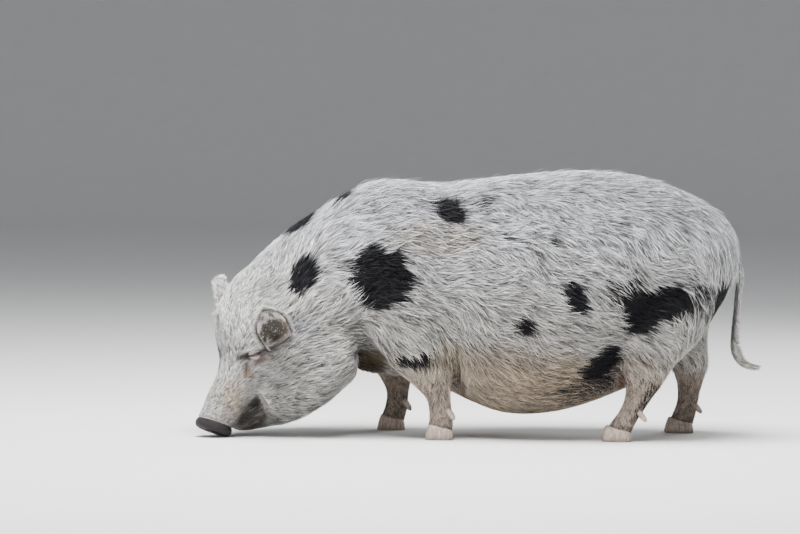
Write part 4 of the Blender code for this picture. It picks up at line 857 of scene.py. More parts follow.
def sheet_solid(name, middle, half):
    """A closed solid round a grid of points, split into triangles alike on both faces."""
    rows, columns = middle.shape[:2]
    bm = bmesh.new()
    sides = [
        [[bm.verts.new(middle[i, j] + sign * half[i, j]) for j in range(columns)] for i in range(rows)]
        for sign in (1, -1)
    ]
    for grid in sides:
        for i in range(rows - 1):
            for j in range(columns - 1):
                a, b, c, d = grid[i][j], grid[i][j + 1], grid[i + 1][j + 1], grid[i + 1][j]
                bm.faces.new((a, b, c))
                bm.faces.new((a, c, d))
    rim = [(0, j) for j in range(columns)] + [(i, columns - 1) for i in range(1, rows)]
    rim += [(rows - 1, j) for j in range(columns - 2, -1, -1)] + [(i, 0) for i in range(rows - 2, 0, -1)]
    for (i, j), (m, n) in zip(rim, rim[1:] + rim[:1]):
        bm.faces.new((sides[0][i][j], sides[0][m][n], sides[1][m][n]))
        bm.faces.new((sides[0][i][j], sides[1][m][n], sides[1][i][j]))
    outward(bm)
    return object_from(name, bm)


def claw(name, foot, side):
    """One of the two claws of a foot, flat underneath and on the side that faces the cleft."""
    x, y, length, width = FEET[foot]
    half = (width - CLEFT / 2) / 2
    rings = []
    for height, size in CLAW_PROFILE:
        points = []
        for k in range(CLAW_SIDES):
            angle = 2 * math.pi * k / CLAW_SIDES
            along = -length * size * power_curve(math.cos(angle), CLAW_ROUNDNESS[0])
            if along < 0:
                along *= 1 + CLAW_TOE * (1 - height)
            across = half * power_curve(math.sin(angle), CLAW_ROUNDNESS[1])
            across = half + across * (size if across > 0 else 1)
            place = coronet((x + along, y + side * (CLEFT / 2 + across)), x, -GAP / 2)
            points.append(place * (1, 1, height))
        rings.append(points)
    return loft(name, rings)


def dewclaw(name, foot, side):
    """A small blunt claw behind the pastern."""
    stations = spline(LEGS[foot], 12)
    x, y, _, long, _ = min(stations, key=lambda row: abs(row[2] - DEWCLAW_HEIGHT))
    start = np.array((x + long * DEWCLAW_BACK, y + side * DEWCLAW_SPREAD, DEWCLAW_HEIGHT))
    run = unit(np.array(DEWCLAW_RUN) * (1, side, 1))
    across = unit(np.cross(run, ALONG_Y))
    third = np.cross(run, across)
    rings = []
    for share, radius in DEWCLAW_PROFILE:
        middle = start + run * DEWCLAW_LENGTH * share
        reach, wide = across * radius, radius * DEWCLAW_BREADTH
        rings.append(ring(middle + reach, middle - reach, third, wide, sides=DEWCLAW_SIDES))
    return loft(name, rings)


def tail_rows():
    """Middles of the tail with the way that it runs, its half thickness and half width."""
    rows = spline(TAIL, 2)
    for i, (x, z, thick, wide) in enumerate(rows):
        before, after = rows[max(i - 1, 0)], rows[min(i + 1, len(rows) - 1)]
        run = unit(np.array((after[0] - before[0], 0, after[1] - before[1])))
        yield np.array((x, TAIL_Y, z)), run, thick, wide


def eye_frame(side):
    """The middle of an eye, the way that it looks, and the directions along and across its lids."""
    out = unit(mirrored(EYE_LOOK, side))
    along = head_axis(EYE_LINE[0], 0, EYE_LINE[1])
    along = unit(along - out * (along @ out))
    across = np.cross(out, along)
    if across[2] < 0:
        across = -across
    return node_middle("eye_left" if side > 0 else "eye_right"), out, along, across


def boolean(obj, other, operation):
    """Joins an object with another or cuts it by the other, which then goes."""
    modifier = obj.modifiers.new("Cut", "BOOLEAN")
    modifier.operation = operation
    modifier.solver = "MANIFOLD"
    modifier.object = other
    apply_modifiers(obj)
    bpy.data.objects.remove(other)
    return obj


def blended(obj):
    """The overlapping masses of an object as one smooth skin."""
    remesh = obj.modifiers.new("Blend", "REMESH")
    remesh.mode = "VOXEL"
    remesh.voxel_size = VOXEL
    smooth = obj.modifiers.new("Ease", "SMOOTH")
    smooth.factor = 0.5
    smooth.iterations = BLEND_ROUNDS
    return apply_modifiers(obj)


def body_form():
    """The animal's flesh as one blended mesh, without ears, tail, claws and coat."""
    masses = [
        loft("trunk", list(trunk_rings())),
        loft("neck_mass", list(turned_rings(NECK, NECK_WIDEST))),
        loft("jowl_mass", list(turned_rings(JOWL, JOWL_WIDEST))),
        loft("head_mass", list(head_rings(HEAD))),
        loft("jaw_mass", list(head_rings(JAW))),
    ]
    for name, leg in LEGS.items():
        masses.append(loft(f"{name}_mass", list(leg_rings(leg))))
    for centre, radii in CHEEKS:
        for side in (1, -1):
            masses.append(cheek(centre, radii, side))
    body = blended(joined("skin", masses))
    lifted(body, face_lift)
    return body


# Photograph
def camera_frame():
    """The place of the photograph's camera, its turn and its distance from the animal."""
    tilt, roll = math.radians(ELEVATION), math.radians(ROLL)
    back = Vector((0, -math.cos(tilt), math.sin(tilt)))
    turn = back.to_track_quat("Z", "Y") @ Matrix.Rotation(roll, 3, "Z").to_quaternion()
    middle = Vector(((PHOTO[0] / 2 - PHOTO_ZERO[0]) * PIXEL, 0, (PHOTO_ZERO[1] - PHOTO[1] / 2) * PIXEL))
    distance = PHOTO[0] * PIXEL * LENS / SENSOR
    return middle + back * distance, turn, distance


def on_skin(tree, pixel):
    """The place on the skin that the photograph shows at a pixel, or the nearest where it just misses."""
    place, turn, distance = camera_frame()
    across = (pixel[0] - PHOTO[0] / 2) * PIXEL / distance
    up = (PHOTO[1] / 2 - pixel[1]) * PIXEL / distance
    sight = turn @ Vector((across, up, -1.0))
    hit, _, _, _ = tree.ray_cast(place, sight)
    if hit is None:
        hit, _, _, _ = tree.find_nearest(place - sight * (place.y / sight.y))
    return np.array(hit)


# Skin
def head_coordinates(places):
    """Distance ahead of the pivot, to the left and over the floor, in the head's own plane."""
    away = places - np.array(HEAD_PIVOT)
    return away @ head_axis(1, 0, 0), away @ head_axis(0, 1, 0), away[..., 2]


def coat_share(places):
    """How long the coat is: 1 on the body, 0 on the face and the legs."""
    ahead, _, _ = head_coordinates(places)
    low = np.maximum(step(places[..., 2], *COAT_LOW), step(-places[..., 0], *COAT_CHEST))
    return (1 - step(ahead, *COAT_FACE)) * low


def vertex_arrays(mesh):
    """The vertices of a mesh and their normals."""
    points = np.empty(len(mesh.vertices) * 3)
    mesh.vertices.foreach_get("co", points)
    normals = np.empty(len(mesh.vertices) * 3)
    mesh.vertex_normals.foreach_get("vector", normals)
    return points.reshape(-1, 3), normals.reshape(-1, 3)


def moved(mesh, points):
    mesh.vertices.foreach_set("co", points.ravel())
    mesh.update()


def depth_at(places):
    """How far the tips of the coat stand off the skin."""
    share = coat_share(places)
    return COAT_DEPTH * share + FACE_DEPTH * (1 - share)


def lifted(obj, lift_at):
    """Moves the points of an object along their normals, as far as a function of the points says."""
    points, normals = vertex_arrays(obj.data)
    moved(obj.data, points + normals * lift_at(points)[:, None])


def to_path(points, path):
    """The distance of each point from a path of straight lengths."""
    best = np.full(len(points), np.inf)
    for start, end in zip(path, path[1:]):
        run = end - start
        share = np.clip((points - start) @ run / (run @ run), 0, 1)
        best = np.minimum(best, np.linalg.norm(points - start - share[:, None] * run, axis=1))
    return best


def fold_lift(points, tree):
    """How far the folds raise the skin: each sinks it, with a slight roll on either side."""
    lift = np.zeros(len(points))
    for pixels, width, depth in FOLDS:
        path = np.array([on_skin(tree, pixel) for pixel in pixels])
        away = to_path(points, path) / width
        lift -= depth * (np.exp(-(away**2)) - FOLD_ROLL * np.exp(-((away - 2.0) ** 2)))
    return lift


def below_coronet(foot):
    """The space under the sloping plane between a leg and its claws."""
    x, y, _, _ = FEET[foot]
    long, wide, deep = FOOT_ROOM
    corners = [(x + a * long, y + b * wide) for a, b in ((-1, -1), (1, -1), (1, 1), (-1, 1))]
    return loft("below", [[coronet(p, x, 0.0) for p in corners], [np.array((*p, -deep)) for p in corners]])


def nose_space():
    """The space in front of the head's own end, where the nose disc sits."""
    centre, up, face, half = nose_frame()
    left = head_axis(0, 1, 0)
    corner = centre - up * (half + NOSE_BELOW) - left * NOSE_ROOM
    return box("beyond", corner, (up, left, face), (2 * half + NOSE_AROUND, 2 * NOSE_ROOM, NOSE_ROOM))


def nose_disc():
    """The flat nose with its rounded rim and two nostrils, cut off level where it meets the ground."""
    centre, up, face, half = nose_frame()
    left = head_axis(0, 1, 0)
    rings = []
    for depth, size in NOSE_PROFILE:
        middle = centre + face * (depth * NOSE_THICKNESS - NOSE_SUNK * (depth == 0))
        reach = up * half * size
        rings.append(ring(middle + reach, middle - reach, left, NOSE_HALF_WIDTH * size, sides=NOSE_SIDES))
    disc = loft("disc", rings)
    for side in (1, -1):
        rings = []
        for depth, size in NOSTRIL_CUT:
            middle = centre + face * depth + left * side * NOSTRIL_SPREAD
            reach = unit(up + left * side * NOSTRIL_TILT) * NOSTRIL[1] * size
            opening = ring(middle + reach, middle - reach, left, NOSTRIL[0] * size, sides=NOSTRIL_SIDES)
            rings.append(opening)
        boolean(disc, loft("nostril", rings), "DIFFERENCE")
    floor = box("floor", (-1, -1, -0.2), ((1, 0, 0), (0, 1, 0), (0, 0, 1)), (2, 2, 0.2))
    return boolean(disc, floor, "DIFFERENCE")


def ear_frame(tree, side):
    """The root of an ear, its length axis, the way that its cup opens and the axis across it."""
    word = "left" if side > 0 else "right"
    skin = skin_at(tree, *EAR_ROOT[word], side)
    axis = unit(mirrored(EAR_AXIS[word], side))
    face = mirrored(EAR_FACE[word], side)
    face = unit(face - axis * (face @ axis))
    return skin, axis, face, np.cross(axis, face)


def ear_sheet(tree, side, rows, columns):
    """The middle surface of a cupped ear as a grid of points, and its unit normals."""
    skin, axis, face, across = ear_frame(tree, side)
    middle = np.zeros((rows, columns, 3))
    for i in range(rows):
        t = 1 - (1 - i / (rows - 1)) ** EAR_EASE
        width = EAR_WIDTH / 2 * ear_outline(t)
        for j in range(columns):
            u = 2 * j / (columns - 1) - 1
            hollow = EAR_CUP * (1 - EAR_SHALLOWER * t) * (1 - u * u)
            bend = EAR_CURL * t * t
            place = skin + axis * (EAR_LENGTH * (t - EAR_SUNK) - EAR_ARC * u * u) + across * width * u
            middle[i, j] = place + face * (bend - hollow + EAR_STAND)
    normal = np.cross(np.gradient(middle, axis=0), np.gradient(middle, axis=1))
    return middle, unit(normal)


def ear(tree, side):
    middle, normal = ear_sheet(tree, side, *EAR_GRID)
    return sheet_solid("ear", middle, normal * EAR_THICKNESS / 2)


def ear_hollow(tree, side):
    """The space in the cup of an ear, from its inner face outwards."""
    middle, _ = ear_sheet(tree, side, *EAR_GRID)
    half = ear_frame(tree, side)[2] * EAR_HOLLOW / 2
    inner = middle[2:-1, 2:-2]
    return sheet_solid("hollow", inner + half, np.broadcast_to(half, inner.shape))


def tail_form():
    rings = []
    for middle, run, thick, wide in tail_rows():
        reach = np.array((-run[2], 0, run[0])) * thick * TAIL_FLESH
        rings.append(ring(middle + reach, middle - reach, side_axis(0), wide * TAIL_FLESH, sides=TAIL_SIDES))
    return loft("tail", rings)


def skin_form():
    """The whole skin as one closed mesh, with the tree of the bare body that its parts are set on."""
    body = body_form()
    full = surface_tree(body)
    lifted(body, lambda points: -depth_at(points))  # so that the coat's tips keep the animal's outline
    lifted(body, lambda points: fold_lift(points, full))
    tree = surface_tree(body)
    bare = linked("bare", body.data.copy())
    boolean(body, nose_space(), "DIFFERENCE")
    boolean(body, nose_disc(), "UNION")
    for side in (1, -1):
        place = eye_frame(side)
        for upper in (True, False):
            boolean(body, lid("lid", place, upper), "UNION")
        boolean(body, ball("pocket", place[0], EYE_RADIUS + GAP, 40, 24), "DIFFERENCE")
        boolean(body, eye_opening("opening", place), "DIFFERENCE")
        boolean(body, mouth_cutter(tree, side), "DIFFERENCE")
        boolean(body, ear_hollow(tree, side), "DIFFERENCE")
        boolean(body, ear(tree, side), "UNION")
    for foot in FEET:
        boolean(body, below_coronet(foot), "DIFFERENCE")
    boolean(body, tail_form(), "UNION")
    return body, bare, tree


# Coat
def lie_field(places, anchors):
    """The way that the hair points at each place, from the anchors near it, alike on both sides."""
    total = np.zeros_like(places)
    mirror = np.stack([places[:, 0], np.abs(places[:, 1]), places[:, 2]], 1)
    for spot, direction in anchors:
        away = np.linalg.norm(mirror - np.array(spot), axis=1)
        total += unit(np.array(direction)) / (away**2 + LIE_SOFTNESS**2)[:, None]
    total[:, 1] *= np.sign(places[:, 1])
    return unit(total)


def lie_at(places, normals):
    """The way that the hair points along the skin: the head's own lie passes into the body's."""
    ahead, left, height = head_coordinates(places)
    local = lie_field(np.stack([ahead, left, height], 1), HEAD_LIE)
    axes = np.stack([head_axis(1, 0, 0), head_axis(0, 1, 0), head_axis(0, 0, 1)])
    share = step(ahead, -0.02, 0.05)[:, None]
    run = lie_field(places, LIE) * (1 - share) + local @ axes * share
    return along_skin(run, normals)


def along_skin(run, normals):
    return unit(run - normals * (run * normals).sum(1, keepdims=True))


def turned(run, normals, angle):
    """Directions turned about the skin's normals."""
    return run * np.cos(angle)[:, None] + np.cross(normals, run) * np.sin(angle)[:, None]


def wavering(places, size, draw):
    """A smooth random value about -1 to 1 over space, whose features are about as large as given."""
    value = np.zeros(len(places))
    for _ in range(10):
        way = unit(draw.normal(size=3)) * 2 * math.pi / (size * draw.uniform(0.7, 1.5))
        value += np.sin(places @ way + draw.uniform(0, 2 * math.pi))
    return value / 2.4


def nearest(tree, places):
    """The nearest places on a surface and its normals there."""
    found = [tree.find_nearest(place) for place in places.tolist()]
    return np.array([f[0][:] for f in found]), np.array([f[1][:] for f in found])


def off_legs(places):
    """For each leg, how far the places are from its middle at their height, as shares of its thickness."""
    for stations in LEGS.values():
        x, y, z, long, wide = np.array(stations)[::-1].T
        middle = [np.interp(places[:, 2], z, column) for column in (x, y, long, wide)]
        yield np.hypot((places[:, 0] - middle[0]) / middle[2], (places[:, 1] - middle[1]) / middle[3])


def leg_share(places):
    """1 on the legs below the body, 0 elsewhere."""
    low = 1 - step(places[:, 2], 0.105, 0.150)
    return np.max([(1 - step(away, 1.05, 1.5)) * low for away in off_legs(places)], axis=0)


def traits(places):
    """Length, width and clumping of the tufts, how far clumps turn, and how densely tufts grow."""
    ahead, _, _ = head_coordinates(places)
    face = step(ahead, 0.00, 0.12)
    leg = leg_share(places)
    belly, foot = 1 - step(places[:, 2], 0.07, 0.13), 1 - step(places[:, 2], 0.03, 0.06)
    length = BODY_HAIR[0] - BODY_HAIR[1] * belly
    length = length * (1 - face) + (FACE_HAIR[0] - FACE_HAIR[1] * step(ahead, 0.10, 0.16)) * face
    length = length * (1 - leg) + (LEG_HAIR[0] - LEG_HAIR[1] * foot) * leg
    small = np.maximum(face, leg)
    others = (most - less * small for most, less in (TUFT_WIDTH, CLUMPING, SWAY, COVER))
    return length, *others


def sampled(obj, density, draw):
    """Random places on a mesh, with their normals, as many to the square metre as the density says."""
    mesh = obj.data
    mesh.calc_loop_triangles()
    corners = np.empty(len(mesh.loop_triangles) * 3, int)
    mesh.loop_triangles.foreach_get("vertices", corners)
    corners = corners.reshape(-1, 3)
    points, normals = vertex_arrays(mesh)
    a, b, c = (points[corners[:, k]] for k in range(3))
    area = np.linalg.norm(np.cross(b - a, c - a), axis=1) / 2
    expected = area * density((a + b + c) / 3)
    number = np.floor(expected + draw.random(len(area))).astype(int)
    chosen = np.repeat(np.arange(len(area)), number)
    u, v = draw.random((2, len(chosen)))
    over = u + v > 1
    u[over], v[over] = 1 - u[over], 1 - v[over]
    share = np.stack([1 - u - v, u, v], 1)
    places = (points[corners[chosen]] * share[:, :, None]).sum(1)
    return places, unit((normals[corners[chosen]] * share[:, :, None]).sum(1))


def strand(tree, places, normals, run, length, curl):
    """The middle line of each tuft: places and normals at its root, half way and at its end."""
    half, half_normals = nearest(tree, places + run * (length / 2)[:, None])
    run = turned(along_skin(run, half_normals), half_normals, curl)
    end, end_normals = nearest(tree, half + run * (length / 2)[:, None])
    return np.stack([places, half, end], 1), np.stack([normals, half_normals, end_normals], 1)


def on_line(line, t):
    """A point at a share of the way along lines given by three points each."""
    return (
        line[:, 0] * (2 * (t - 0.5) * (t - 1))
        + line[:, 1] * (4 * t * (1 - t))
        + line[:, 2] * (2 * t * (t - 0.5))
    )


def clumped(tree, bare, places, draw):
    """For each place, the line that leads its clump, the clump's direction, its bend and its number."""
    seeds, seed_normals = sampled(bare, clump_density, draw)
    seed_length, _, _, sway, _ = traits(seeds)
    angle = sway * draw.normal(size=len(seeds)) + WAVE * wavering(seeds, 0.085, draw)
    run = turned(lie_at(seeds, seed_normals), seed_normals, angle)
    curl = sway * draw.normal(size=len(seeds))
    lines, _ = strand(tree, seeds, seed_normals, run, seed_length, curl)
    index = KDTree(len(seeds))
    for i, seed in enumerate(seeds.tolist()):
        index.insert(seed, i)
    index.balance()
    own = np.array([index.find(place)[1] for place in places.tolist()])
    return lines[own], run[own], curl[own], own


def clump_density(places):
    return 1 / (traits(places)[1] * CLUMP_TUFTS) ** 2


def near_eyes(places, frames):
    """Whether each place lies in the opening between the lids."""
    inside = np.zeros(len(places), bool)
    for centre, out, along, across in frames:
        away = places - centre
        wide, high = away @ along / EYE_CLEAR[0], away @ across / EYE_CLEAR[1]
        inside |= (wide**2 + high**2 < 1) & (away @ out > 0)
    return inside


def in_cup(places, ear_place):
    """Whether each place lies in the open cup of an ear."""
    root, axis, face, across = ear_place
    away = places - root
    t = away @ axis / EAR_LENGTH + EAR_SUNK
    steps = np.linspace(0, 1, 30)
    width = EAR_WIDTH / 2 * np.interp(t, steps, [ear_outline(s) for s in steps])
    return (t > 0.0) & (t < 1) & (np.abs(away @ across) < width) & (away @ face > -EAR_CUP)


def bare_places(places, frames, cups):
    """Where no hair of the body grows: nose disc, opening of the lids, cups of the ears, claws."""
    centre, _, face, _ = nose_frame()
    bare = (places - centre) @ face > -0.0005
    bare |= near_eyes(places, frames)
    for cup in cups:
        bare |= in_cup(places, cup)
    for x, y, _, _ in FEET.values():
        close = np.hypot(places[:, 0] - x, places[:, 1] - y) < 0.05
        bare |= close & (places[:, 2] < coronet_height(places[:, 0], x) + 0.001)
    return bare


def tuft_density(places):
    length, width, _, _, cover = traits(places)
    return cover / (TUFT_AREA * length * width)


def body_tufts(bare, tree, frames, cups, draw):
    """The tufts of the body, head and legs: middle lines, normals, widths, heights and roots."""
    places, normals = sampled(bare, tuft_density, draw)
    keep = ~bare_places(places, frames, cups)
    places, normals = places[keep], normals[keep]
    length, width, clump, _, _ = traits(places)
    raised = (draw.random(len(places)) < RAISED) & (places[:, 2] > RAISED_OVER)
    length = length * np.where(raised, RAISED_LONGER, 1.0)
    leader, run, curl, clump_of = clumped(tree, bare, places, draw)
    vary = draw.uniform(*LENGTHS, len(places))
    run = along_skin(run + STRAY * draw.normal(size=run.shape), normals)
    lines, line_normals = strand(tree, places, normals, run, length * vary, curl)
    pull = np.clip(clump * draw.uniform(*PULLS, len(places)), 0, MOST_PULL)
    for i, share in PULL_ALONG:
        toward = leader[:, i] - lines[:, i]
        toward -= line_normals[:, i] * (toward * line_normals[:, i]).sum(1, keepdims=True)
        lines[:, i] += toward * (pull * share)[:, None]
    depth = depth_at(places) * np.where(raised, RAISED_HIGHER, 1.0)
    small = np.maximum(step(head_coordinates(places)[0], 0.02, 0.10), leg_share(places))
    return {
        "lines": lines,
        "normals": line_normals,
        "width": width * draw.uniform(*WIDTHS, len(places)),
        "depth": depth * draw.uniform(*HEIGHTS, len(places)),
        "root": places,
        "clump": clump_of,
        "fine": (small > 0.6) | (draw.random(len(places)) < PLAIN_TUFTS),
    }


def sheet_tufts(places, normals, run, length, width, depth, fine):
    """Tufts that stand on a surface of their own, such as an ear or the tail, and bend only a little."""
    lines = np.stack([places, places + run * (length / 2)[:, None], places + run * length[:, None]], 1)
    return {
        "lines": lines,
        "normals": np.repeat(normals[:, None], 3, 1),
        "width": width,
        "depth": np.full(len(places), depth),
        "root": places,
        "clump": np.arange(len(places)),
        "fine": np.full(len(places), fine),
    }


def ear_tufts(tree, side, draw):
    """Short hair on the back of an ear, pale fringes along its rim, and a few hairs inside the cup."""
    middle, normal = ear_sheet(tree, side, 41, 41)
    face = ear_frame(tree, side)[2]
    down, over = np.gradient(middle, axis=0), np.gradient(middle, axis=1)
    back = np.sign((normal * face).sum(2, keepdims=True)) * -normal
    made = []
    for count, inside, rim in EAR_HAIR:
        i, j = draw.integers(4, 41, count), draw.integers(0, 41, count)
        if rim:
            u = draw.choice([-1, 1], count) * draw.uniform(rim, 1.0, count)
            edge = draw.random(count) < 0.5
            j = np.where(edge, ((u + 1) * 20).astype(int), j)
            i = np.where(edge, i, 40 - draw.integers(0, 3, count))
        place = middle[i, j] + back[i, j] * EAR_THICKNESS / 2 * (-1 if inside else 1)
        place = place + EAR_HAIR_SCATTER * draw.normal(size=place.shape)
        out = -back[i, j] if inside else back[i, j]
        side_way = unit(over[i, j]) * ((j - 20) / 20)[:, None]
        fan = EAR_HAIR_FAN * side_way * (RIM_FAN if rim else 1.0)
        run = unit(unit(down[i, j]) + fan + EAR_HAIR_RISE * out)
        run = unit(run + EAR_HAIR_STRAY * draw.normal(size=run.shape))
        length = draw.uniform(*EAR_HAIR_LENGTH, count) * (RIM_LONGER if rim else 1.0)
        width = draw.uniform(*EAR_HAIR_WIDTH, count)
        made.append(sheet_tufts(place, out, run, length, width, EAR_HAIR_HEIGHT, True))
    return merged(made)


def merged(parts):
    return {key: np.concatenate([part[key] for part in parts]) for key in parts[0]}


def between(rows, t):
    """The values of rows at places counted in rows."""
    return np.stack([np.interp(t, np.arange(len(rows)), column) for column in np.array(rows).T], 1)


def tail_tufts(draw):
    """Hair that hangs along the tail, and the long tuft at its end."""
    middles, runs, thick, wide = zip(*tail_rows())
    last = len(middles) - 1
    made = []
    for count, low, high, long, spread_out in TAIL_HAIR:
        t = draw.uniform(low, high, count)
        place, run = between(middles, t), unit(between(runs, t))
        angle = draw.uniform(0, 2 * math.pi, count)
        turn = np.stack([np.cos(angle), np.sin(angle)], 1)
        out = unit(np.cross(run, ALONG_Y)) * turn[:, :1] + ALONG_Y * turn[:, 1:]
        sizes = between(list(zip(thick, wide)), t) * TAIL_FLESH
        place = place + out * (np.hypot(*(sizes * turn).T) * TAIL_HAIR_START)[:, None]
        run = unit(run + out * spread_out * draw.uniform(0.3, 1.0, count)[:, None])
        length = long * draw.uniform(*TAIL_HAIR_LENGTHS, count)
        later = unit(between(runs, np.minimum(t / last + TAIL_HAIR_BEND, 1.0) * last))
        half = place + run * (length / 2)[:, None]
        stray = TAIL_HAIR_STRAY * draw.normal(size=run.shape)
        tips = half + unit(later + stray) * (length / 2)[:, None]
        width = draw.uniform(*TAIL_HAIR_WIDTH, count)
        tufts = sheet_tufts(place, out, run, length, width, TAIL_HAIR_HEIGHT, False)
        tufts["lines"] = np.stack([place, half, tips], 1)
        made.append(tufts)
    return merged(made)


def bristles(tree, draw):
    """The spiky tuft of the brow, and the fringe at each armpit."""
    groups = [(head_point(*BROW_TUFT), BROW_SPREAD, 70, head_axis(0.75, -0.2, 0.45), 0.016)]
    for side in (-1, 1):
        middle, way = np.array((ARMPIT, (0.25, 0.15, -1.0))) * (1, side, 1)
        groups.append((middle, ARMPIT_SPREAD, 420, way, 0.026))
    made = []
    for spot, radii, count, run, length in groups:
        place, normal = nearest(tree, spot + draw.normal(size=(count, 3)) * radii)
        ways = unit(unit(run) + BRISTLE_STRAY * draw.normal(size=(count, 3)))
        width = draw.uniform(*BRISTLE_WIDTH, count)
        lengths = length * draw.uniform(*BRISTLE_LENGTHS, count)
        made.append(sheet_tufts(place, normal, ways, lengths, width, BRISTLE_HEIGHT, True))
    return merged(made)


# Unwrap of the skin's own shape: each body part is laid flat from the six ways that its faces may turn
def part_of(places, ears):
    """The number of the body part that each place belongs to."""
    part = np.full(len(places), 2)
    for number, cut in ((1, NECK_CUT), (0, HEAD_CUT)):
        top, down, nose = cut_frame(cut)
        length = math.hypot(cut[2] - cut[0], cut[3] - cut[1])
        part[((places - top) @ nose > 0) & ((places - top) @ down < length + cut[5])] = number
    for number, away in enumerate(off_legs(places)):
        part[(places[:, 2] < 0.125) & (away < 1.35)] = 3 + number
    for number, (centre, reach) in enumerate(ears):
        part[np.linalg.norm(places - centre, axis=1) < reach] = 7 + number
    part[np.linalg.norm((places - TAIL_MIDDLE) / TAIL_REACH, axis=1) < 1] = 9
    return part


def facing(normals):
    """Which of six ways each normal turns most, as a number."""
    axis = np.abs(normals).argmax(1)
    return axis * 2 + (normals[np.arange(len(normals)), axis] > 0)


def flat_places(places, way):
    """Each place laid flat along the axis that its way names."""
    axis = way // 2
    u = np.where(axis == 0, places[:, 1], places[:, 0])
    v = np.where(axis == 2, places[:, 1], places[:, 2])
    return np.stack([u, v], 1)


class Unwrap:
    """Places on the skin as places on a square map, chart by chart."""

    def __init__(self, places, normals, parts_of):
        self.parts_of = parts_of
        way = facing(normals)
        chart = parts_of(places) * 6 + way
        flat = flat_places(places, way)
        self.lows, sizes = {}, {}
        for number in np.unique(chart):
            mine = flat[chart == number]
            self.lows[number] = mine.min(0)
            sizes[number] = mine.max(0) - mine.min(0) + CHART_MARGIN
        self.scale, self.shelves = self.packed(sizes)

    @staticmethod
    def packed(sizes):
        """The scale and the corner of each chart, laid on shelves from the tallest down."""
        order = sorted(sizes, key=lambda number: -sizes[number][1])
        scale = 1.0
        while True:
            x = y = tall = 0.0
            corners = {}
            for number in order:
                width, height = sizes[number] * scale
                if x + width > 1:
                    x, y, tall = 0.0, y + tall, 0.0
                corners[number] = np.array((x, y))
                x, tall = x + width, max(tall, height)
            if y + tall <= 1:
                return scale, corners
            scale *= 0.97

    def at(self, places, normals):
        """The map's place of each place."""
        way = facing(normals)
        chart = self.parts_of(places) * 6 + way
        flat = flat_places(places, way)
        out = np.zeros((len(places), 2))
        for number in np.unique(chart):
            mine = chart == number
            if number in self.lows:
                out[mine] = (flat[mine] - self.lows[number] + CHART_MARGIN / 2) * self.scale
                out[mine] += self.shelves[number]
        return np.clip(out, 0.002, 0.998)


# Meshes of the coat
def tuft_arrays(tufts):
    """Corners and triangles of closed spindles: pointed at both ends, three-sided between, ridge outwards."""
    fine = tufts["fine"]
    made = []
    for stations, chosen in ((LONG_TUFT, ~fine), (FINE_TUFT, fine)):
        count = int(chosen.sum())
        if not count:
            continue
        line, normal = tufts["lines"][chosen], tufts["normals"][chosen]
        width, depth = tufts["width"][chosen], tufts["depth"][chosen]
        start = on_line(line, 0.0) - normal[:, 0] * ROOT_SUNK
        rings, shares = [start[:, None]], [0.0]
        for t, wide, high in stations:
            middle = on_line(line, t)
            out = unit(on_line(normal, t))
            run = unit(on_line(line, min(t + 0.2, 1.0)) - on_line(line, t - 0.2))
            across = unit(np.cross(out, run)) * (width * wide / 2)[:, None]
            lift = out * (depth * high)[:, None]
            thick = out * (width * wide * 0.32)[:, None]
            rings.append(np.stack([middle + lift - across, middle + lift + thick, middle + lift + across], 1))
            shares += [t] * 3
        end = on_line(line, 1.0) + unit(normal[:, 2]) * depth[:, None]
        rings.append(end[:, None])
        shares.append(1.0)
        points = np.concatenate(rings, 1)
        faces = tuft_faces(len(stations))
        made.append((points, faces, np.array(shares), np.flatnonzero(chosen)))
    return made


def tuft_faces(rings):
    """The triangles of one spindle by the numbers of its corners."""
    last = 3 * rings + 1
    faces = [(0, 1 + (k + 1) % 3, 1 + k) for k in range(3)]
    for i in range(rings - 1):
        low, high = 1 + 3 * i, 4 + 3 * i
        for k in range(3):
            n = (k + 1) % 3
            faces += [(low + k, low + n, high + n), (low + k, high + n, high + k)]
    base = 3 * rings - 2
    faces += [(base + k, base + (k + 1) % 3, last) for k in range(3)]
    return np.array(faces)


def shared_shade(clump):
    """A random value from 0 to 1 for each number of a clump, the same wherever the number comes up."""
    return np.modf(np.sin(clump * 12.9898) * 43758.5453 + 43759.0)[0]


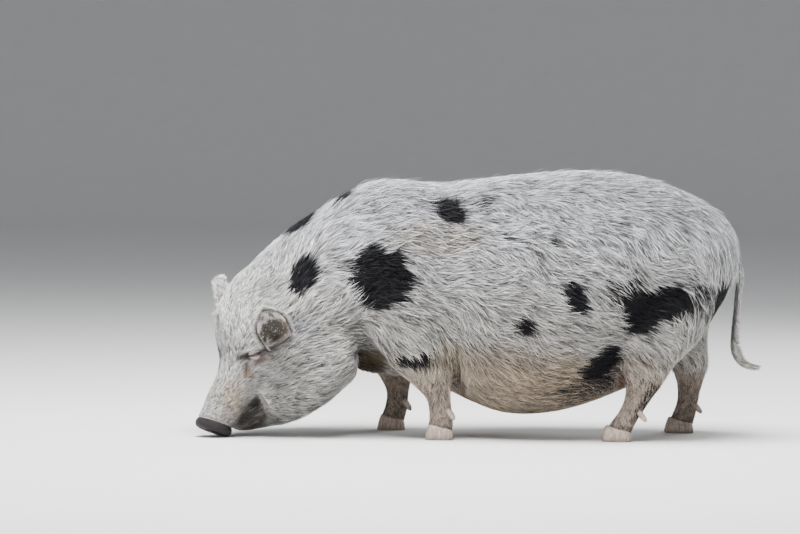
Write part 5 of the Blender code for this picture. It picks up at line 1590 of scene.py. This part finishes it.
def coat_piece(name, tufts, unwrap, slot, look, draw):
    """One joined mesh of tufts, with its map, the place that its colour is taken at, and a random shade that
    the hair's material also uses for painted light and shade.
    """
    points, faces, along, owners, maps = [], [], [], [], []
    start = 0
    uv = unwrap.at(tufts["root"], tufts["normals"][:, 0])
    for corners, pattern, shares, chosen in tuft_arrays(tufts):
        count, size = corners.shape[:2]
        points.append(corners.reshape(-1, 3))
        faces.append((pattern[None] + (start + np.arange(count) * size)[:, None, None]).reshape(-1, 3))
        along.append(np.tile(shares, count))
        owners.append(np.repeat(chosen, size))
        width = np.array([0.0] + [-1.0, 0.0, 1.0] * ((size - 2) // 3) + [0.0])
        patch = np.stack([width, 2 * shares - 1], 1) * PATCH / 2
        maps.append((uv[chosen][:, None] + patch[None]).reshape(-1, 2))
        start += count * size
    points, faces = np.concatenate(points), np.concatenate(faces)
    along, owners, maps = np.concatenate(along), np.concatenate(owners), np.concatenate(maps)
    mesh = bpy.data.meshes.new(name)
    mesh.vertices.add(len(points))
    mesh.vertices.foreach_set("co", (points - ORIGIN).ravel())
    mesh.loops.add(faces.size)
    mesh.loops.foreach_set("vertex_index", faces.ravel())
    mesh.polygons.add(len(faces))
    mesh.polygons.foreach_set("loop_start", np.arange(0, faces.size, 3))
    mesh.update(calc_edges=True)
    mesh.shade_smooth()
    mesh.uv_layers.new(name="OFBake").data.foreach_set("uv", maps[faces.ravel()].ravel())
    place = tufts["lines"][:, 1] - ORIGIN
    # random per tuft and per clump; the hair's material makes it both tone and painted light and shade of the
    # clumps
    shade = 0.5 * draw.random(len(place)) + 0.5 * shared_shade(tufts["clump"])
    other = draw.uniform(0.08, 0.92, len(place))
    layer = mesh.attributes.new("place", "FLOAT_VECTOR", "POINT")
    layer.data.foreach_set("vector", place[owners].ravel().astype(np.float32))
    for key, values in (("shade", shade[owners]), ("other", other[owners]), ("along", along)):
        mesh.attributes.new(key, "FLOAT", "POINT").data.foreach_set("value", values.astype(np.float32))
    mesh.materials.append(look)
    obj = linked(name, mesh)
    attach(obj, "root")


def picked(tufts, chosen):
    return {key: values[chosen] for key, values in tufts.items()}


def coat_zones(places):
    """The name of the piece of coat that each place belongs to."""
    ahead, left, _ = head_coordinates(places)
    side = np.where(places[:, 1] < 0, "left", "right")
    zone = np.full(len(places), "flank", dtype=object)
    zone[places[:, 0] > 0.20] = "rump"
    zone[places[:, 0] < -0.02] = "shoulder"
    zone[places[:, 0] < -0.17] = "neck"
    zone[(places[:, 2] < 0.12) & (places[:, 0] > -0.15)] = "belly"
    zone[ahead > 0.0] = "cheek"
    zone[ahead > 0.085] = "face"
    side = np.where(ahead > 0.0, np.where(left > 0, "left", "right"), side)
    zone = np.array([f"coat_{z}_{s}" for z, s in zip(zone, side)], dtype=object)
    zone[leg_share(places) > 0.5] = "coat_legs"
    return zone


# Materials
class Graph:
    """Adds nodes to a node tree; every call gives back the new node's output."""

    def __init__(self, tree):
        self.tree = tree

    def add(self, kind, inputs, output=0, **settings):
        node = self.tree.nodes.new(kind)
        for key, value in settings.items():
            setattr(node, key, value)
        for key, value in inputs.items():
            if isinstance(value, bpy.types.NodeSocket):
                self.tree.links.new(value, node.inputs[key])
            else:
                node.inputs[key].default_value = value
        return node.outputs[output]

    def math(self, operation, a, b):
        return self.add("ShaderNodeMath", {0: a, 1: b}, operation=operation)

    def times(self, a, b):
        return self.math("MULTIPLY", a, b)

    def most(self, values):
        """The greatest of several values."""
        first, *others = values
        for value in others:
            first = self.math("MAXIMUM", first, value)
        return first

    def mix(self, share, a, b, blend="MIX"):
        a, b = ((*c, 1.0) if isinstance(c, tuple) else c for c in (a, b))
        return self.add("ShaderNodeMix", {0: share, 6: a, 7: b}, 2, data_type="RGBA", blend_type=blend)

    def shaded(self, colour, value):
        """A colour times a grey value."""
        grey = self.add("ShaderNodeCombineColor", {0: value, 1: value, 2: value})
        return self.mix(1.0, colour, grey, "MULTIPLY")

    def ramp(self, value, low, high, to_low=0.0, to_high=1.0):
        sockets = {"Value": value, "From Min": low, "From Max": high, "To Min": to_low, "To Max": to_high}
        return self.add("ShaderNodeMapRange", sockets, interpolation_type="SMOOTHSTEP")

    def noise(self, place, scale, detail, rough=0.5):
        sockets = {"Vector": place, "Scale": scale, "Detail": detail, "Roughness": rough}
        return self.add("ShaderNodeTexNoise", sockets)

    def unevenness(self, noise, amount):
        """Noise about 0."""
        return self.times(self.math("SUBTRACT", noise, 0.5), amount)

    def distance(self, place, centre, radii, tilt=0.0):
        """How far a place is from a centre, as a share of three radii tilted about the Y axis."""
        sockets = {"Vector": place, "Location": centre, "Rotation": (0, tilt, 0), "Scale": radii}
        local = self.add("ShaderNodeMapping", sockets, vector_type="TEXTURE")
        return self.add("ShaderNodeVectorMath", {0: local}, 1, operation="LENGTH")

    def spot(self, place, centre, radii, soft=0.3, tilt=0.0, uneven=0.0):
        """1 within an ellipsoid and 0 outside, with a soft edge that a value makes uneven."""
        away = self.distance(place, centre, radii, tilt)
        return self.ramp(self.math("ADD", away, uneven), 1 + soft, 1 - soft)


class Look(Graph):
    """The graph of a new material, with its shader and the place on the object."""

    def __init__(self, name, roughness):
        self.made = bpy.data.materials.new(name)
        self.made.use_nodes = True
        super().__init__(self.made.node_tree)
        self.shader = self.tree.nodes["Principled BSDF"]
        self.shader.inputs["Roughness"].default_value = roughness
        self.place = self.tree.nodes.new("ShaderNodeTexCoord").outputs["Object"]

    def attribute(self, name, output="Fac"):
        node = self.tree.nodes.new("ShaderNodeAttribute")
        node.attribute_name = name
        return node.outputs[output]

    def marked(self, group, place):
        """Colour and darkness of the shared markings at a place, with their painted light and shade."""
        node = self.tree.nodes.new("ShaderNodeGroup")
        node.node_tree = group
        self.tree.links.new(place, node.inputs[0])
        return node.outputs[0], node.outputs[1]

    def cells(self, scale, feature):
        return self.add("ShaderNodeTexVoronoi", {"Vector": self.place, "Scale": scale}, feature=feature)

    def bump(self, height, strength, distance):
        made = self.add("ShaderNodeBump", {"Strength": strength, "Distance": distance, "Height": height})
        self.tree.links.new(made, self.shader.inputs["Normal"])

    def finished(self, colour, roughness=None):
        """The material with its colour, and with its roughness where that varies."""
        self.tree.links.new(colour, self.shader.inputs["Base Color"])
        if roughness is not None:
            self.tree.links.new(roughness, self.shader.inputs["Roughness"])
        return self.made


def row(point):
    """A point in the part's own frame, as plain numbers."""
    return tuple(float(value) for value in np.array(point) - ORIGIN)


def other_side(point):
    """The same place on the other side of the head."""
    ahead, left, height = head_coordinates(np.array(point))
    return head_point(ahead, -left, height)


def spread(pixels, depth):
    """Half sizes in metres of a mark whose half sizes the photograph gives in pixels."""
    return pixels[0] * PIXEL, depth, pixels[1] * PIXEL


def patch_spots(tree):
    """Every dark patch: its middle, half sizes, tilt, softness and strength."""
    for rows, soft, strength in ((PATCHES, 0.20, 1.0), (GREY_PATCHES, 0.6, 0.62)):
        for pixel, size, tilt in rows:
            yield row(on_skin(tree, pixel)), spread(size, 0.05), -math.radians(tilt), soft, strength
    for centre, sizes, tilt in FAR_PATCHES:
        yield row(centre), sizes, -math.radians(tilt), 0.20, 1.0


def stain_and_shade_spots(tree):
    """Every stain and every mark of painted shade: its middle, half sizes, tilt, softness, strength and
    colour.
    """
    for pixel, size, tilt, soft, amount, tint in STAINS_AND_SHADE:
        yield row(on_skin(tree, pixel)), spread(size, 0.06), -math.radians(tilt), soft, amount, tint
    for pixel, size, tilt, soft, amount, tint in FACE_STAINS_AND_SHADE:
        place = on_skin(tree, pixel)
        for spot, turn in ((place, -tilt), (other_side(place), tilt)):
            yield row(spot), spread(size, 0.03), math.radians(turn), soft, amount, tint


def tail_stripe(g, x, z):
    """1 on the dark stripe down the front of the tail, 0 elsewhere."""
    ahead = g.math("SUBTRACT", x, g.times(z, 0.1))
    stripe = g.times(g.ramp(ahead, 0.4150, 0.4115), g.ramp(z, 0.27, 0.255))
    return g.times(g.times(stripe, g.ramp(z, 0.14, 0.16)), g.ramp(x, 0.425, 0.430))


def markings(tree):
    """The colours of skin and coat at a place on the animal, with painted light and shade among them, as one
    node group that both use.
    """
    group = bpy.data.node_groups.new("markings", "ShaderNodeTree")
    group.interface.new_socket("Place", in_out="INPUT", socket_type="NodeSocketVector")
    for name, kind in (("Color", "NodeSocketColor"), ("Dark", "NodeSocketFloat")):
        group.interface.new_socket(name, in_out="OUTPUT", socket_type=kind)
    g = Graph(group)
    place = group.nodes.new("NodeGroupInput").outputs[0]
    x, z = (g.add("ShaderNodeSeparateXYZ", {0: place}, output) for output in (0, 2))
    broad = g.noise(place, 9.0, 3.0)
    uneven = g.unevenness(g.noise(place, 38.0, 3.0), 1.1)
    high = g.math("ADD", z, g.unevenness(broad, 0.10))
    # partly the coat's own tone and partly painted light: paler and bluer towards the top, where the sky's
    # light falls, and greyer lower down
    colour = g.mix(g.ramp(high, 0.18, 0.36), (0.68, 0.66, 0.63), (0.84, 0.85, 0.88))
    forehead = g.spot(place, row(head_point(0.10, 0, 0.19)), (0.09, 0.09, 0.11), 0.4)
    colour = g.mix(forehead, colour, (0.86, 0.85, 0.83))
    underneath = g.times(g.ramp(high, 0.17, 0.06), g.ramp(x, -0.20, -0.12))
    colour = g.mix(underneath, colour, (0.55, 0.45, 0.34))
    patchy = g.ramp(broad, 0.30, 0.60, 0.70, 1.0)
    # stains of soil and tears, and painted shade and shadow behind and under the jowl, in the armpit, the
    # mouth and along the eye
    for centre, radii, tilt, soft, amount, tint in stain_and_shade_spots(tree):
        edge = g.times(uneven, min(1.0, radii[2] / SMALL_MARK))
        mask = g.spot(place, centre, radii, soft, tilt, edge)
        colour = g.mix(g.times(mask, g.times(patchy, amount)), colour, tint)
    shanks = [row((x + 0.01, y, 0.04)) for x, y, _, _ in FEET.values()]
    legs = g.most(g.spot(place, shank, (0.065, 0.055, 0.070)) for shank in shanks)
    colour = g.mix(g.times(legs, 0.85), colour, (0.62, 0.50, 0.42))
    soil = g.times(g.times(g.ramp(z, 0.035, 0.018), 0.5), legs)
    colour = g.mix(soil, colour, (0.34, 0.27, 0.21))
    dark = g.most(
        g.times(g.spot(place, centre, sizes, soft, tilt, g.times(uneven, 0.8)), strength)
        for centre, sizes, tilt, soft, strength in patch_spots(tree)
    )
    colour = g.mix(g.times(tail_stripe(g, x, z), 0.8), colour, (0.10, 0.10, 0.11))
    out = group.nodes.new("NodeGroupOutput")
    group.links.new(colour, out.inputs[0])
    group.links.new(dark, out.inputs[1])
    return group


def hair_look(group):
    """The coat: every tuft takes its colour at its own middle, with its own shade and a darker root; the
    shade is partly random tone and partly painted light and shade of the clumps, and the darker root is
    painted shade.
    """
    g = Look("hair", 0.60)
    shade, along, other = (g.attribute(name) for name in ("shade", "along", "other"))
    colour, dark = g.marked(group, g.attribute("place", "Vector"))
    # partly random tone and partly painted light and shade: tufts and whole clumps are made brighter or
    # darker like lit and shaded clumps
    white = g.shaded(colour, g.ramp(shade, 0.05, 0.95, 0.42, 1.26))
    # painted shadow: the tufts of least shade turn dark grey, as the shade in the gaps between clumps
    white = g.mix(g.times(g.ramp(shade, 0.38, 0.18), 0.80), white, (0.10, 0.097, 0.095))
    black = g.mix(g.ramp(shade, 0.80, 1.0), BLACK, (0.030, 0.030, 0.036))
    black = g.mix(g.times(g.ramp(shade, 0.03, 0.01), 0.8), black, (0.45, 0.45, 0.47))
    colour = g.mix(g.ramp(g.math("SUBTRACT", dark, other), -0.08, 0.08), white, black)
    g.shader.inputs["Specular IOR Level"].default_value = 0.22
    # painted shade: each tuft darkens towards its root, where the coat above it shades it
    return g.finished(g.shaded(colour, g.ramp(along, 0.05, 0.85, 0.16, 1.0)))


def skin_look(group):
    """The skin under the coat: greyish pink with the coat's markings, darkened as painted shade, finely
    wrinkled.
    """
    g = Look("skin", 0.62)
    colour, dark = g.marked(group, g.place)
    fine, mottle = g.noise(g.place, 420.0, 4.0, 0.6), g.noise(g.place, 60.0, 4.0, 0.6)
    pink = g.mix(g.ramp(mottle, 0.3, 0.7), (0.36, 0.27, 0.25), (0.50, 0.38, 0.34))
    # painted shade: the markings' colour is darkened to the grey of the shade between hairs, then mixed with
    # the skin's own pink
    colour = g.mix(0.30, g.mix(1.0, colour, (0.72, 0.72, 0.74), "MULTIPLY"), pink)
    g.bump(g.math("ADD", g.times(fine, 0.6), g.times(g.cells(330.0, "F1"), 0.5)), 0.5, 0.0008)
    return g.finished(g.mix(dark, colour, BLACK))


def nose_look():
    """The bare nose disc: nearly black, moist, with fine grooves and dried soil."""
    g = Look("nose", 0.42)
    soil = g.ramp(g.noise(g.place, 85.0, 5.0, 0.65), 0.48, 0.68)
    colour = g.mix(g.noise(g.place, 160.0, 3.0), (0.006, 0.005, 0.006), (0.026, 0.020, 0.023))
    colour = g.mix(g.times(soil, 0.35), colour, (0.07, 0.052, 0.040))
    g.shader.inputs["Specular IOR Level"].default_value = 0.22
    lumps = g.times(g.noise(g.place, 70.0, 3.0), 1.5)
    g.bump(g.math("ADD", g.cells(520.0, "DISTANCE_TO_EDGE"), lumps), 0.9, 0.0020)
    return g.finished(colour, g.ramp(soil, 0.0, 1.0, 0.50, 0.85))


def ear_look(cups):
    """The ears: pinkish grey behind and along the rim, dark brown in the cup, and near black as painted shade
    deep in its middle.
    """
    g = Look("ear", 0.65)
    mottle = g.noise(g.place, 90.0, 4.0, 0.6)
    colour = g.mix(g.ramp(mottle, 0.3, 0.7), (0.56, 0.49, 0.47), (0.70, 0.62, 0.60))
    uneven = g.unevenness(mottle, 1.2)
    for centre in cups:
        # the cup's own dark brown, then painted shade that turns its middle near black
        for size, tint in ((0.034, (0.11, 0.078, 0.052)), (0.026, (0.022, 0.016, 0.011))):
            mask = g.spot(g.place, row(centre), (size, size, size), 0.35, 0.0, uneven)
            colour = g.mix(g.times(mask, 0.92), colour, tint)
    g.bump(g.noise(g.place, 500.0, 4.0, 0.6), 0.4, 0.0006)
    return g.finished(colour)


def eye_look(frames):
    """A moist dark brown eye with a black pupil and a paler rim round the iris."""
    g = Look("eye", 0.08)
    colour = g.mix(g.noise(g.place, 700.0, 3.0), (0.020, 0.010, 0.006), (0.055, 0.028, 0.014))
    for centre, out, _, _ in frames:
        spot = row(centre + out * EYE_RADIUS)
        pupil, iris = g.distance(g.place, spot, (0.0038,) * 3), g.distance(g.place, spot, (0.0082,) * 3)
        colour = g.mix(g.ramp(pupil, 1.1, 0.95), colour, (0.002, 0.002, 0.002))
        white = g.times(g.ramp(iris, 1.0, 1.15), g.ramp(iris, 2.0, 1.9))
        colour = g.mix(g.times(white, 0.5), colour, (0.30, 0.24, 0.20))
    g.shader.inputs["Coat Weight"].default_value = 0.6
    g.shader.inputs["Coat Roughness"].default_value = 0.03
    return g.finished(colour)


def horn_look():
    """The claws: greyish brown horn with growth lines across and streaks along, and soil at the bottom."""
    g = Look("horn", 0.5)
    lines, streaks = (
        g.noise(g.add("ShaderNodeMapping", {"Vector": g.place, "Scale": (1.0, 1.0, stretch)}), scale, 3.0)
        for stretch, scale in ((6.0, 110.0), (0.12, 520.0))
    )
    colour = g.mix(g.ramp(streaks, 0.35, 0.65), (0.28, 0.215, 0.175), (0.50, 0.41, 0.34))
    colour = g.mix(g.times(g.ramp(lines, 0.5, 0.7), 0.5), colour, (0.20, 0.15, 0.12))
    height = g.add("ShaderNodeSeparateXYZ", {0: g.place}, 2)
    colour = g.mix(g.times(g.ramp(height, 0.010, 0.0), 0.6), colour, (0.085, 0.065, 0.045))
    g.bump(g.math("ADD", lines, streaks), 0.4, 0.0008)
    return g.finished(colour, g.ramp(g.noise(g.place, 300.0, 2.0), 0.0, 1.0, 0.38, 0.68))


def floor_look():
    """A plain pale floor."""
    g = Look("floor", 0.85)
    return g.finished(g.mix(g.noise(g.place, 14.0, 4.0), (0.74, 0.74, 0.73), (0.78, 0.78, 0.77)))


# Pieces
def shown(obj, name, slot, look, *nodes):
    """Puts a piece in the part's own frame, with its finish, in place of the given nodes."""
    obj.name = obj.data.name = name
    points, _ = vertex_arrays(obj.data)
    moved(obj.data, points - ORIGIN)
    obj.data.materials.clear()
    for each in look if isinstance(look, list) else [look]:
        obj.data.materials.append(each)
    obj.data.shade_smooth()
    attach(obj, "root")
    if nodes:
        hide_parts(*nodes)
    return obj


def node_middle(name):
    """The middle of a node of the frame, in the coordinates used for the forms."""
    low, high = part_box(name)
    return (np.array(low) + np.array(high)) / 2 + ORIGIN


def eye_piece(word, look):
    """An eyeball with a clear bulge over its iris."""
    centre, out, _, _ = eye_frame(SIDES[word])
    obj = ball(f"eye_{word}", (0, 0, 0), EYE_RADIUS, 48, 32)
    points, _ = vertex_arrays(obj.data)
    toward = points @ out / EYE_RADIUS
    points *= (1 + 0.05 * step(toward, 0.72, 1.0))[:, None]
    moved(obj.data, points + centre)
    return shown(obj, f"eyeball_{word}", "eye", look, f"eye_{word}")


def foot_piece(foot, look):
    """The two claws and two dewclaws of a foot, with worn edges."""
    y = FEET[foot][1]
    shapes, nodes = [], []
    for side in (1, -1):
        place = f"{foot}_{'outer' if side * y > 0 else 'inner'}"
        shapes += [claw("claw", foot, side), dewclaw("spur", foot, side)]
        nodes += [f"hoof_{place}", f"dewclaw_{place}"]
    return shown(joined("claws", shapes), f"claws_{foot}", "horn", look, *nodes)


def skin_piece(body, looks, ears):
    """The skin, with the nose disc and the ears in finishes of their own."""
    faces = np.array([face.center[:] for face in body.data.polygons])
    centre, _, toward, _ = nose_frame()
    kinds = np.zeros(len(faces), int)
    kinds[(faces - centre) @ toward > -0.0006] = 1
    for middle, reach in ears:
        kinds[np.linalg.norm(faces - middle, axis=1) < reach] = 2
    nodes = ["head", "neck", "torso", "snout", "ear_left", "ear_right", "tail"] + list(LEG_NODES.values())
    obj = shown(body, "skin", "coat", looks, *nodes)
    obj.data.polygons.foreach_set("material_index", kinds)
    obj.data.update()
    return obj


# Studio
def floor_disc():
    """A flat round floor with a raised edge, closed up to the horizon."""
    profile = [(2.0, 0.0), (6.0, 0.0), (FLOOR_FLAT, 0.0)]
    for a in np.linspace(0.1, math.pi / 2, 14):
        profile.append((FLOOR_FLAT + FLOOR_BEND * math.sin(a), FLOOR_BEND * (1 - math.cos(a))))
    profile.append((FLOOR_FLAT + FLOOR_BEND, FLOOR_RIM))
    bm = bmesh.new()
    corner = bm.verts.new((0, 0, 0))
    turns = [2 * math.pi * k / FLOOR_SIDES for k in range(FLOOR_SIDES)]
    grid = [[bm.verts.new((r * math.cos(a), r * math.sin(a), z)) for a in turns] for r, z in profile]
    for k in range(FLOOR_SIDES):
        n = (k + 1) % FLOOR_SIDES
        bm.faces.new((corner, grid[0][k], grid[0][n]))
        for inner, outer in zip(grid, grid[1:]):
            bm.faces.new((inner[k], outer[k], outer[n], inner[n]))
    floor = object_from("floor", bm)
    floor.data.shade_smooth()
    floor.data.materials.append(floor_look())
    return floor


def studio():
    """The floor, the lights and the photograph's camera."""
    floor_disc()
    for name, place, size, power in LIGHTS:
        light = linked(name, bpy.data.lights.new(name, "AREA"))
        light.data.size, light.data.energy = size, power
        light.location = place
        light.rotation_euler = (Vector(LIT_POINT) - Vector(place)).to_track_quat("-Z", "Y").to_euler()
    world = bpy.data.worlds.new("studio")
    world.use_nodes = True
    background = world.node_tree.nodes["Background"].inputs
    background[0].default_value, background[1].default_value = SKY_COLOUR, SKY_STRENGTH
    bpy.context.scene.world = world
    camera = linked("camera", bpy.data.cameras.new("camera"))
    place, turn, _ = camera_frame()
    camera.data.lens, camera.data.sensor_width = LENS, SENSOR
    camera.location = place - Vector(ORIGIN)
    camera.rotation_mode = "QUATERNION"
    camera.rotation_quaternion = turn
    bpy.context.scene.camera = camera


def coat(bare, tree, unwrap, frames, look):
    """All pieces of the coat."""
    draw = np.random.default_rng(SEED)
    cups = [ear_frame(tree, side) for side in (1, -1)]
    body = body_tufts(bare, tree, frames, cups, draw)
    zones = coat_zones(body["root"])
    pieces = [(zone, picked(body, zones == zone), "coat") for zone in np.unique(zones)]
    pieces.append(("coat_bristles", bristles(tree, draw), "coat"))
    for word, side in SIDES.items():
        pieces.append((f"coat_ear_{word}", ear_tufts(tree, side, draw), "ear_skin"))
    pieces.append(("coat_tail", tail_tufts(draw), "tail_hair"))
    for name, tufts, slot in pieces:
        slot = "leg_skin" if name == "coat_legs" else slot
        parts = -(-len(tufts["width"]) // MOST_TUFTS)
        order = np.argsort(tufts["root"][:, 0])
        for i, chosen in enumerate(np.array_split(order, parts)):
            title = name if parts == 1 else f"{name}_{i + 1}"
            coat_piece(title, picked(tufts, chosen), unwrap, slot, look, draw)


def main():
    body, bare, tree = skin_form()
    frames = [eye_frame(side) for side in (1, -1)]
    sheets = [ear_sheet(tree, side, 21, 21)[0] for side in (1, -1)]
    ears = [(sheet[9, 10], EAR_REACH) for sheet in sheets]
    unwrap = Unwrap(*vertex_arrays(body.data), lambda spots: part_of(spots, ears))
    group = markings(tree)
    eyes, horn = eye_look(frames), horn_look()
    for word in SIDES:
        eye_piece(word, eyes)
    for foot in FEET:
        foot_piece(foot, horn)
    coat(bare, tree, unwrap, frames, hair_look(group))
    bpy.data.objects.remove(bare)
    skin_piece(body, [skin_look(group), nose_look(), ear_look([sheet[5, 10] for sheet in sheets])], ears)
    studio()


main()
